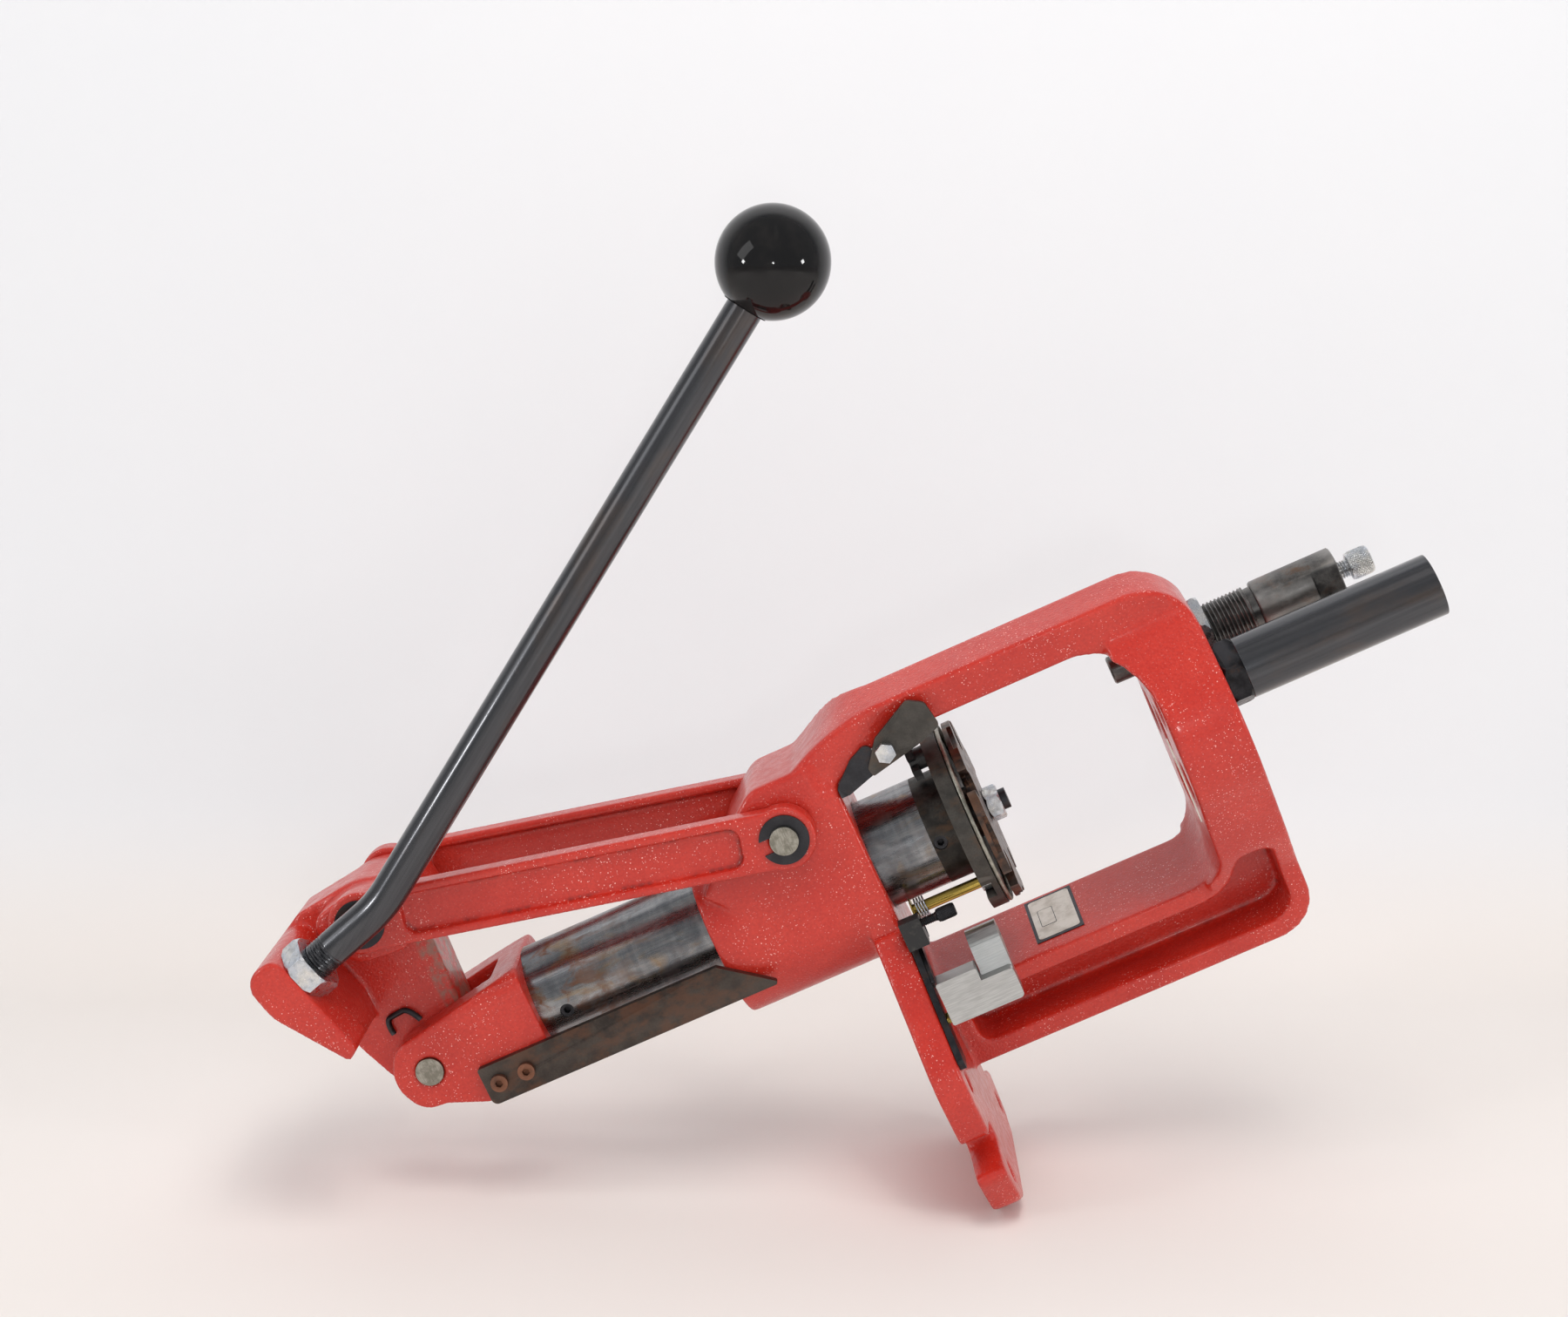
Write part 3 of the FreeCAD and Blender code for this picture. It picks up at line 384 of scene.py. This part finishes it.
ROD_TOP = row(-246.8, -58, 65.3)
ROD_TURN = atan2(ROD_BEND.x - ROD_TOP.x, ROD_TOP.z - ROD_BEND.z)
HANDLE = black_oxide("handle_black", ROD_TURN, 0.45)
TUBE = black_oxide("tube_black", 0.0, 0.6)
BALL = ball_black()
ZINC = zinc()
PIN = ground_pin()
BRASS = brass()
ALUMINIUM = milled_aluminium()
NYLON = black_nylon()
LABEL = label_face()

FINISH = {"red_casting": RED, "oiled_steel": OILED, "blued_steel": BLUED, "plate_steel": PLATE,
          "pin_steel": PIN, "zinc_steel": ZINC, "handle_steel": HANDLE, "ball_plastic": BALL,
          "brass": BRASS, "aluminium": ALUMINIUM, "black_plastic": NYLON, "label_metal": LABEL}
SLOT = {part["node"]: part["material_slot"] for part in frame["record"]["subparts"]}
OWN_FINISH = {"guide_bar": BAR, "shell_plate": SHELL, "name_plate": BLUED, "head_strip": LABEL,
              "shield_tube": TUBE, "guide_bar_screws": RUSTY}


# ================================================================ mesh helpers
def dress(obj, material):
    obj.data.materials.clear()
    obj.data.materials.append(material)
    for polygon in obj.data.polygons:
        polygon.material_index = 0


def smooth_by_angle(obj, degrees):
    obj.data.shade_smooth()
    for edge in obj.data.edges:
        edge.use_edge_sharp = False
    marked = bmesh.new()
    marked.from_mesh(obj.data)
    limit = radians(degrees)
    for edge in marked.edges:
        if len(edge.link_faces) == 2 and edge.calc_face_angle(0) > limit:
            edge.smooth = False
    marked.to_mesh(obj.data)
    marked.free()


def new_piece(name, mesh, body, material, stands_for=()):
    obj = bpy.data.objects.new(name, mesh)
    bpy.context.scene.collection.objects.link(obj)
    dress(obj, material)
    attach(obj, body)
    if stands_for:
        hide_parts(*stands_for)
    return obj


def baked(obj):
    """The mesh that an object's modifiers make."""
    graph = bpy.context.evaluated_depsgraph_get()
    mesh = bpy.data.meshes.new_from_object(obj.evaluated_get(graph))
    bpy.data.objects.remove(obj)
    return mesh


def cutter(mesh):
    """Object that a boolean takes away from a casting."""
    obj = bpy.data.objects.new("cutter", mesh)
    bpy.context.scene.collection.objects.link(obj)
    return obj


def casting(node, voxel, rounds, material, machined=()):
    """Cast version of a CAD node: edges rounded as sand casting leaves them, machined openings cut clean."""
    work = bpy.data.objects.new("work", NODES[node].data.copy())
    bpy.context.scene.collection.objects.link(work)
    weld = work.modifiers.new("weld", "WELD")
    weld.merge_threshold = 0.01 * MM
    remesh = work.modifiers.new("remesh", "REMESH")
    remesh.mode = "VOXEL"
    remesh.voxel_size = voxel
    soften = work.modifiers.new("soften", "SMOOTH")
    soften.factor = 0.5
    soften.iterations = rounds
    tools = [cutter(shape) for shape in machined]
    for tool in tools:
        cut = work.modifiers.new("machined", "BOOLEAN")
        cut.operation = "DIFFERENCE"
        cut.solver = "EXACT"
        cut.object = tool
    bpy.context.view_layer.update()
    mesh = baked(work)
    for tool in tools:
        bpy.data.objects.remove(tool)
    mesh.name = node
    piece = new_piece(node + "_cast", mesh, BODY[node], material, [node])
    if machined:
        smooth_by_angle(piece, 50)
    else:
        mesh.shade_smooth()
    return piece


def crisp(node, edge):
    """Machined CAD node: the CAD mesh as it is, with its sharp edges broken by a small bevel."""
    obj = NODES[node]
    weld = obj.modifiers.new("weld", "WELD")
    weld.merge_threshold = 0.005 * MM
    flat = obj.modifiers.new("flat", "DECIMATE")
    flat.decimate_type = "DISSOLVE"
    flat.angle_limit = radians(0.4)
    bevel = obj.modifiers.new("edge", "BEVEL")
    bevel.width = edge
    bevel.segments = 2
    bevel.limit_method = "ANGLE"
    bevel.angle_limit = radians(32)
    normals = obj.modifiers.new("normals", "WEIGHTED_NORMAL")
    normals.keep_sharp = True
    obj.data.shade_smooth()


def grid_mesh(name, rows):
    """Mesh from rings of points, all rings with the same count; the ends are capped."""
    mesh = bpy.data.meshes.new(name)
    count = len(rows[0])
    points = [p for ring in rows for p in ring]
    faces = []
    for i in range(len(rows) - 1):
        for j in range(count):
            k = (j + 1) % count
            faces.append((i * count + j, i * count + k, (i + 1) * count + k, (i + 1) * count + j))
    faces.append(tuple(reversed(range(count))))
    faces.append(tuple(range((len(rows) - 1) * count, len(rows) * count)))
    mesh.from_pydata(points, [], faces)
    mesh.validate()
    fix = bmesh.new()
    fix.from_mesh(mesh)
    bmesh.ops.recalc_face_normals(fix, faces=fix.faces)
    fix.to_mesh(mesh)
    fix.free()
    return mesh


def axes_for(direction):
    """Two unit vectors square to a direction."""
    side = Vector((0, 1, 0)) if abs(direction.y) < 0.9 else Vector((1, 0, 0))
    u = direction.cross(side).normalized()
    return u, direction.cross(u).normalized()


def turned(name, profile, base, direction, segments):
    """Turned part: profile is (distance along the axis, radius or function of the angle) in metres."""
    direction = direction.normalized()
    u, v = axes_for(direction)
    rows = []
    for along, radius in profile:
        ring = []
        for j in range(segments):
            angle = 2 * pi * j / segments
            r = radius(angle) if callable(radius) else radius
            ring.append(base + direction * along + (u * cos(angle) + v * sin(angle)) * r)
        rows.append(ring)
    return grid_mesh(name, rows)


def in_mm(profile):
    """Profile rows given in millimetres."""
    return [(along * MM, radius * MM) for along, radius in profile]


def wave(t):
    """Triangle wave, 0 to 1 to 0 over each whole number."""
    t = t % 1.0
    return 2 * t if t < 0.5 else 2 - 2 * t


def thread(start, end, radius, pitch, depth):
    """Profile rows of a helical thread between two places on the axis, eight to each turn."""
    count = int((end - start) / pitch * 8)
    rows = []
    for i in range(count + 1):
        along = start + (end - start) * i / count
        fade = min(1.0, (along - start) / pitch, (end - along) / pitch)

        def ring(angle, along=along, fade=fade):
            return radius - depth * fade * wave(along / pitch - angle / (2 * pi))

        rows.append((along, ring))
    return rows


def knurl(start, end, radius, depth, around, pitch, step):
    """Profile rows of a diamond knurl with chamfered ends."""
    count = max(8, int((end - start) / step))
    rows = []
    for i in range(count + 1):
        along = start + (end - start) * i / count
        fade = min(1.0, (along - start) / (1.2 * pitch), (end - along) / (1.2 * pitch))

        def ring(angle, along=along, fade=fade):
            a = wave(around * angle / (2 * pi) + along / pitch)
            b = wave(around * angle / (2 * pi) - along / pitch)
            return radius - depth * (1 - fade) - depth * fade * (1 - min(a, b) * 1.6)

        rows.append((along, ring))
    return rows


def swept(name, points, radius, segments):
    """Tube along points; radius is a number or a function (index, angle)."""
    rows = []
    u = axes_for((points[1] - points[0]).normalized())[0]
    for i, point in enumerate(points):
        ahead = points[min(i + 1, len(points) - 1)]
        behind = points[max(i - 1, 0)]
        tangent = (ahead - behind).normalized()
        u = (u - tangent * u.dot(tangent)).normalized()
        v = tangent.cross(u)
        ring = []
        for j in range(segments):
            angle = 2 * pi * j / segments
            r = radius(i, angle) if callable(radius) else radius
            ring.append(point + (u * cos(angle) + v * sin(angle)) * r)
        rows.append(ring)
    return grid_mesh(name, rows)


def smooth_piece(name, mesh, body, material, stands_for=(), *, angle):
    piece = new_piece(name, mesh, body, material, stands_for)
    smooth_by_angle(piece, angle)
    return piece


# ================================================================ castings
bar_low, bar_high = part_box("guide_bar")
ram_low, ram_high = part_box("ram")
FLANGE_TOP = 14 * MM
BAR_GAP = 0.45 * MM
notch_low = Vector((bar_low.x - BAR_GAP, bar_low.y - 30 * MM, -2 * MM))
notch_high = Vector((bar_high.x + BAR_GAP, bar_high.y + BAR_GAP, FLANGE_TOP + 2 * MM))
notch_plan = [(notch_low.x, notch_low.y), (notch_high.x, notch_low.y), (notch_high.x, notch_high.y),
              (notch_low.x, notch_high.y)]
notch_rings = [[Vector((x, y, z)) for x, y in notch_plan] for z in (notch_low.z, notch_high.z)]
notch = grid_mesh("notch", notch_rings)
UP = Vector((0, 0, 1))
BORE_R = (ram_high.x - ram_low.x) / 2 + 0.06 * MM
BORE_FOOT = -80 * MM
bore = turned("bore", [(BORE_FOOT, BORE_R), (FLANGE_TOP + 3 * MM, BORE_R)], row(0, 0, 0), UP, 160)
casting("frame_casting", 1.1 * MM, 15, RED, [notch, bore])
casting("near_link", 0.85 * MM, 4, RED)
casting("far_link", 0.85 * MM, 4, RED)
casting("lever_block", 0.95 * MM, 6, RED_LEVER)
casting("ram_clevis", 0.85 * MM, 5, RED)

# ================================================================ handle
ROD_R = 7.94 * MM
ROD_LEAN = radians(17)
ROD_DOWN = Vector((sin(ROD_LEAN), 0, -cos(ROD_LEAN)))
ROD_UP = (ROD_TOP - ROD_BEND).normalized()
BOSS_FACE = ROD_BEND + ROD_DOWN * 46.5 * MM
BEND_RADIUS = 60 * MM
NUT_T = 9.5 * MM
THREAD_HELD = 15.5 * MM                           # thread inside the boss
THREAD_SHOWN = 9.0 * MM                           # thread past the nut
THREAD_PITCH = 1.4 * MM
THREAD_STEP = 0.22 * MM
BEND_STEPS = 24
STRAIGHT_STEPS = 40
ROD_IN_BALL = 5.5 * MM


def rod_path():
    """Centre line of the handle: fine steps through the thread, the bend, and the long straight."""
    foot = BOSS_FACE + ROD_DOWN * THREAD_HELD
    turn = ROD_UP.angle(-ROD_DOWN)
    run = BEND_RADIUS * tan(turn / 2)
    first = ROD_BEND + ROD_DOWN * run
    last = ROD_BEND + ROD_UP * run
    mid_way = (ROD_DOWN + ROD_UP).normalized()
    middle = ROD_BEND + mid_way * (BEND_RADIUS / cos(turn / 2))
    points = []
    steps = int((first - foot).length / THREAD_STEP)
    for i in range(steps):
        points.append(foot.lerp(first, i / steps))
    start = first - middle
    finish = last - middle
    for i in range(BEND_STEPS + 1):
        points.append(middle + start.slerp(finish, i / BEND_STEPS).normalized() * BEND_RADIUS)
    end = ROD_TOP + ROD_UP * ROD_IN_BALL
    for i in range(1, STRAIGHT_STEPS + 1):
        points.append(last.lerp(end, i / STRAIGHT_STEPS))
    return points, steps


rod_points, thread_steps = rod_path()
thread_top = THREAD_HELD + NUT_T + THREAD_SHOWN


def rod_radius(i, angle):
    if i >= thread_steps:
        return ROD_R
    along = i * (rod_points[1] - rod_points[0]).length
    if along > thread_top:
        return ROD_R
    fade = min(1.0, (thread_top - along) / (1.5 * MM))
    return ROD_R - 0.75 * MM * fade * wave(along / THREAD_PITCH - angle / (2 * pi))


bar_mesh = swept("handle_bar", rod_points, rod_radius, 64)
smooth_piece("handle_bar", bar_mesh, "lever", HANDLE, ["handle_rod"], angle=60)

BALL_R = 23.8 * MM
BALL_CENTRE = ROD_TOP + ROD_UP * 21.5 * MM
FOOT_TILT = pi - 0.405                            # where the round starts, above the ball's flat foot
ball_profile = [(-21.3 * MM, ROD_R + 0.2 * MM), (-21.9 * MM, ROD_R + 0.7 * MM), (-21.9 * MM, 9.9 * MM)]
for i in range(65):
    tilt = FOOT_TILT - FOOT_TILT * i / 64
    ball_profile.append((BALL_R * cos(tilt), max(BALL_R * sin(tilt), 0.02 * MM)))
ball_mesh = turned("ball", ball_profile, BALL_CENTRE, ROD_UP, 128)
smooth_piece("ball", ball_mesh, "lever", BALL, ["ball_knob"], angle=50)

# ================================================================ tools in the head
STATION_R = 11.11 * MM
STATION_CIRCLE = 33                               # millimetres from the ram's axis to a tool
DIE_BODY_R = 11.8 * MM
DIE_FLAT = 9.8 * MM                               # half the width across the wrench flats
DIE_CHAMFER = 0.6 * MM


def station(angle):
    return row(STATION_CIRCLE * cos(radians(angle)), STATION_CIRCLE * sin(radians(angle)), 0)


def die_top(angle):
    """Round body with two wrench flats square to Y; the angle is measured from X."""
    side = abs(sin(angle))
    return DIE_BODY_R if side * DIE_BODY_R < DIE_FLAT else DIE_FLAT / side


def die_edge(angle):
    return die_top(angle) - DIE_CHAMFER


DIE = station(165)
die_rows = in_mm([(142.9, 5.6), (143.6, 6.4), (154, 6.5)]) + [(154.2 * MM, STATION_R - 0.8 * MM)]
die_rows += thread(155 * MM, 210 * MM, STATION_R, 1.814 * MM, 1.05 * MM)
die_rows += in_mm([(210.3, 9.7), (213.2, 9.9), (213.5, 11.2), (214.3, 11.8), (239.0, 11.8)])
die_rows += [(240.0 * MM, die_top), (250.9 * MM, die_top), (251.5 * MM, die_edge)]
die_rows += in_mm([(251.5, 4.3), (246, 4.2)])
smooth_piece("die", turned("die", die_rows, DIE, UP, 96), "frame", DIE_STEEL, ["die_body"], angle=40)

stem_rows = thread(240 * MM, 256.4 * MM, 4.15 * MM, 1.1 * MM, 0.55 * MM)
stem_mesh = turned("die_adjuster", stem_rows, DIE, UP, 48)
smooth_piece("die_adjuster", stem_mesh, "frame", ZINC, ["die_stem"], angle=60)
knob_rows = in_mm([(256.5, 4.6)])
knob_rows += knurl(256.9 * MM, 266.6 * MM, 6.4 * MM, 0.35 * MM, 34, 1.3 * MM, 0.16 * MM)
knob_rows += in_mm([(267.0, 5.4)])
smooth_piece("die_cap", turned("die_cap", knob_rows, DIE, UP, 204), "frame", ZINC, ["die_knob"], angle=70)

# ================================================================ small parts
PUNCH = centre("punch_rod")
spring_low, spring_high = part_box("punch_spring")
COIL_R = 4.45 * MM
COIL_WIRE_R = 0.42 * MM
COIL_END = 0.45 * MM                              # from the wire's centre line to the spring's end
COIL_TURNS = 4
COIL_STEPS = COIL_TURNS * 24
coil_rise = spring_high.z - spring_low.z - 2 * COIL_END
coil_points = []
for i in range(COIL_STEPS + 1):
    angle = 2 * pi * COIL_TURNS * i / COIL_STEPS
    climb = spring_low.z + COIL_END + coil_rise * i / COIL_STEPS
    coil_points.append(Vector((PUNCH.x + COIL_R * cos(angle), PUNCH.y + COIL_R * sin(angle), climb)))
coil_mesh = swept("punch_coil", coil_points, COIL_WIRE_R, 10)
smooth_piece("punch_coil", coil_mesh, "ram", ZINC, ["punch_spring"], angle=60)

ring_low, ring_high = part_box("shell_retainer")
RING_LINE = 0.972                                 # the wire's centre line, as a share of the outside radius
RING_WIRE_R = 1.15 * MM
ring_x = (ring_high.x - ring_low.x) / 2 * RING_LINE
ring_y = (ring_high.y - ring_low.y) / 2 * RING_LINE
ring_z = (ring_low.z + ring_high.z) / 2
ring_turns = [2 * pi * i / 96 for i in range(97)]
ring_points = [Vector((AXIS_X + ring_x * cos(angle), ring_y * sin(angle), ring_z)) for angle in ring_turns]
ring_mesh = swept("retainer_wire", ring_points, RING_WIRE_R, 12)
smooth_piece("retainer_wire", ring_mesh, "ram", PIN, ["shell_retainer"], angle=60)

clip_y = centre("hairpin_clip").y
CLIP_WIRE_R = 1.35 * MM
clip_corners = [row(-17.6, 0, -202.5), row(-24.6, 0, -205.5), row(-24.4, 0, -211), row(-23.6, 0, -217.5),
                row(-16.2, 0, -216.5)]
clip_curve = bpy.data.curves.new("clip_curve", "CURVE")
clip_curve.dimensions = "3D"
clip_curve.resolution_u = 10
spline = clip_curve.splines.new("NURBS")
spline.points.add(len(clip_corners) - 1)
for point, corner in zip(spline.points, clip_corners):
    point.co = (corner.x, clip_y, corner.z, 1)
spline.use_endpoint_u = True
spline.order_u = 3
clip_curve.bevel_depth = CLIP_WIRE_R
clip_curve.bevel_resolution = 4
clip_curve.use_fill_caps = True
clip_work = bpy.data.objects.new("clip_work", clip_curve)
bpy.context.scene.collection.objects.link(clip_work)
bpy.context.view_layer.update()
smooth_piece("clip_wire", baked(clip_work), "lever", BLUED, ["hairpin_clip"], angle=60)

screw_low, screw_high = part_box("thumb_screw")
SCREW = Vector(((screw_low.x + screw_high.x) / 2, (screw_low.y + screw_high.y) / 2, 0))
screw_rows = [(screw_low.z, 1.9 * MM)]
screw_rows += thread(screw_low.z + 0.2 * MM, 30.6 * MM, 2.0 * MM, 0.8 * MM, 0.35 * MM)
screw_rows += in_mm([(31.0, 2.3), (31.2, 2.9)])
screw_rows += knurl(31.4 * MM, 39.2 * MM, 3.1 * MM, 0.22 * MM, 22, 0.9 * MM, 0.15 * MM)
screw_rows += in_mm([(39.5, 2.5)])
screw_mesh = turned("stop_screw", screw_rows, SCREW, UP, 132)
smooth_piece("stop_screw", screw_mesh, "frame", BLUED, ["thumb_screw"], angle=70)

# ================================================================ label on the bench column
FRAME_TURN = radians(15)                          # the column stands this far round the ram from +X
COLUMN_FACE = 67.5                                # millimetres from the ram's axis to the column's inner face


def label_panel(name, across, up, stand_off, corner, material):
    """Round-cornered panel on the column's inner face; across and up are ranges in millimetres."""
    outline = []
    left, right = across[0] + corner, across[1] - corner
    low, high = up[0] + corner, up[1] - corner
    for cx, cz, start in ((right, high, 0), (left, high, 90), (left, low, 180), (right, low, 270)):
        for step in range(7):
            angle = radians(start + 15 * step)
            outline.append((cx + corner * cos(angle), cz + corner * sin(angle)))
    rings = []
    for out in (COLUMN_FACE, COLUMN_FACE - stand_off):
        ring = []
        for side, z in outline:
            x = out * cos(FRAME_TURN) - side * sin(FRAME_TURN)
            y = out * sin(FRAME_TURN) + side * cos(FRAME_TURN)
            ring.append(row(x, y, z))
        rings.append(ring)
    smooth_piece(name, grid_mesh(name, rings), "frame", material, angle=30)


label_panel("label_plain", (-13.4, 19.0), (65.0, 85.0), 0.14, 1.6, LABEL)
label_panel("label_field_edge", (-4.2, 9.8), (68.0, 75.4), 0.20, 0.8, BLUED)
label_panel("label_field", (-3.9, 9.5), (68.3, 75.1), 0.24, 0.6, LABEL)

# ================================================================ carried-over CAD nodes
PLAIN_EDGE = 0.22
CRISP_EDGE = {"ram": 0.5, "guide_bar": 0.35, "subplate": 0.5, "shell_plate": 0.35, "feed_block": 0.45,
              "shield_tube": 0.5, "tube_base": 0.4, "name_plate": 0.2, "head_strip": 0.1,
              "link_pivot_rings": 0.12, "toggle_rings": 0.12, "feed_slide": 0.3}
for node, obj in NODES.items():
    if obj.hide_render:
        continue
    crisp(node, CRISP_EDGE.get(node, PLAIN_EDGE) * MM)
    dress(obj, OWN_FINISH.get(node, FINISH[SLOT[node]]))

# ================================================================ stage, camera, lights
CAMERA_AT = Vector((-0.41897, -1.07022, 0.11789))
VIEW_RIGHT = Vector((0.41460, 0.02094, 0.90976))
VIEW_UP = Vector((-0.89575, 0.18559, 0.40394))
VIEW_BACK = Vector((-0.16042, -0.98240, 0.09572))
FLOOR_UP = Vector((-0.910, 0.0, 0.415)).normalized()

camera = bpy.data.objects.new("camera", bpy.data.cameras.new("camera"))
camera.data.lens = 56.5
camera.data.sensor_width = 36
camera.data.clip_start = 0.01
camera.data.clip_end = 50
turn = Matrix((VIEW_RIGHT, VIEW_UP, VIEW_BACK)).transposed().to_4x4()
camera.matrix_world = Matrix.Translation(CAMERA_AT) @ turn
bpy.context.scene.collection.objects.link(camera)
bpy.context.scene.camera = camera

FORWARD = (-VIEW_BACK - FLOOR_UP * (-VIEW_BACK).dot(FLOOR_UP)).normalized()
SIDE = FORWARD.cross(FLOOR_UP).normalized()
flange_points = [v.co for v in NODES["frame_casting"].data.vertices]
FLOOR_HEIGHT = min(p.dot(FLOOR_UP) for p in flange_points)
CAMERA_FOOT = CAMERA_AT - FLOOR_UP * (CAMERA_AT.dot(FLOOR_UP) - FLOOR_HEIGHT)
WALL_DISTANCE = 1.42
WALL_TOP = 2.6
HALF_WIDTH = 3.0
COVE = 0.10


def stage_surface():
    """Table and backdrop in one sheet with a rounded corner between them."""
    profile = [(-2.2, 0.0), (-0.4, 0.0), (0.6, 0.0), (WALL_DISTANCE - COVE, 0.0)]
    for i in range(1, 13):
        angle = pi / 2 * i / 12
        profile.append((WALL_DISTANCE - COVE + COVE * sin(angle), COVE - COVE * cos(angle)))
    profile += [(WALL_DISTANCE, 0.8), (WALL_DISTANCE, WALL_TOP)]
    points = []
    for ahead, up in profile:
        for side in (-HALF_WIDTH, HALF_WIDTH):
            points.append(CAMERA_FOOT + FORWARD * ahead + FLOOR_UP * up + SIDE * side)
    faces = [(2 * i, 2 * i + 1, 2 * i + 3, 2 * i + 2) for i in range(len(profile) - 1)]
    mesh = bpy.data.meshes.new("stage")
    mesh.from_pydata(points, [], faces)
    if mesh.polygons[0].normal.dot(FLOOR_UP) < 0:
        mesh.flip_normals()
    return mesh


def stage_paint():
    """Pale matt paper; its back is clear so that other views see the object."""
    p = Paint("stage_paper", roughness=0.85)
    soft = p.noise(0.35, 3)
    height = p.tree.nodes.new("ShaderNodeVectorMath")
    height.operation = "DOT_PRODUCT"
    p.put(height.inputs[0], p.place)
    height.inputs[1].default_value = FLOOR_UP
    climb = p.ramp(height.outputs["Value"], FLOOR_HEIGHT, FLOOR_HEIGHT + 0.10)
    table = p.mix(soft, (0.86, 0.81, 0.77), (0.90, 0.86, 0.83))
    wall = p.mix(soft, (0.83, 0.85, 0.88), (0.88, 0.89, 0.91))
    p.colour(p.mix(climb, table, wall))
    p.bump(p.noise(0.2, 2), 0.002, 0.15)
    clear = p.tree.nodes.new("ShaderNodeBsdfTransparent")
    facing = p.tree.nodes.new("ShaderNodeNewGeometry")
    choose = p.tree.nodes.new("ShaderNodeMixShader")
    out = next(n for n in p.tree.nodes if n.type == "OUTPUT_MATERIAL")
    p.tree.links.new(facing.outputs["Backfacing"], choose.inputs[0])
    p.tree.links.new(p.shader.outputs[0], choose.inputs[1])
    p.tree.links.new(clear.outputs[0], choose.inputs[2])
    p.tree.links.new(choose.outputs[0], out.inputs[0])
    return p.material


stage = bpy.data.objects.new("stage", stage_surface())
bpy.context.scene.collection.objects.link(stage)
stage.data.materials.append(stage_paint())
stage.data.shade_smooth()

world = bpy.data.worlds.new("studio")
bpy.context.scene.world = world
world.use_nodes = True
world.node_tree.nodes["Background"].inputs[0].default_value = (0.96, 0.96, 0.97, 1)
world.node_tree.nodes["Background"].inputs[1].default_value = 0.44

FOCUS = (cad_box[0] + cad_box[1]) / 2


def softbox(name, right, up, back, width, height, power, tint=(1, 1, 1), mirrored=True):
    """Area light placed from the middle of the object, by metres to the right, up and towards the camera."""
    data = bpy.data.lights.new(name, "AREA")
    data.shape = "RECTANGLE"
    data.size = width
    data.size_y = height
    data.energy = power
    data.color = tint
    light = bpy.data.objects.new(name, data)
    light.visible_glossy = mirrored
    place = FOCUS + SIDE * right + FLOOR_UP * up - FORWARD * back
    aim = (FOCUS - place).to_track_quat("-Z", "Y").to_matrix().to_4x4()
    light.matrix_world = Matrix.Translation(place) @ aim
    bpy.context.scene.collection.objects.link(light)


softbox("key", 0.1, 1.25, 0.55, 0.9, 0.7, 7.6, (1.0, 0.985, 0.97), mirrored=False)
softbox("left", -1.3, 0.75, 0.8, 0.5, 0.9, 2.4)
softbox("right", 1.25, 0.6, 0.9, 0.5, 0.9, 1.6, mirrored=False)
softbox("front", 0.2, 0.5, 1.7, 1.0, 0.6, 3.0, mirrored=False)
softbox("glint_top", 0.1, 1.25, 0.55, 0.55, 0.06, 1.6, (1.0, 0.9, 0.82))
softbox("glint_left", -1.3, 0.25, 0.8, 0.14, 0.14, 2.0)
softbox("glint_right", 1.3, 0.25, 0.8, 0.16, 0.16, 2.4)
softbox("glint_middle", 0.0, 0.2, 1.6, 0.08, 0.08, 0.9)

bpy.context.scene.view_settings.view_transform = "Standard"
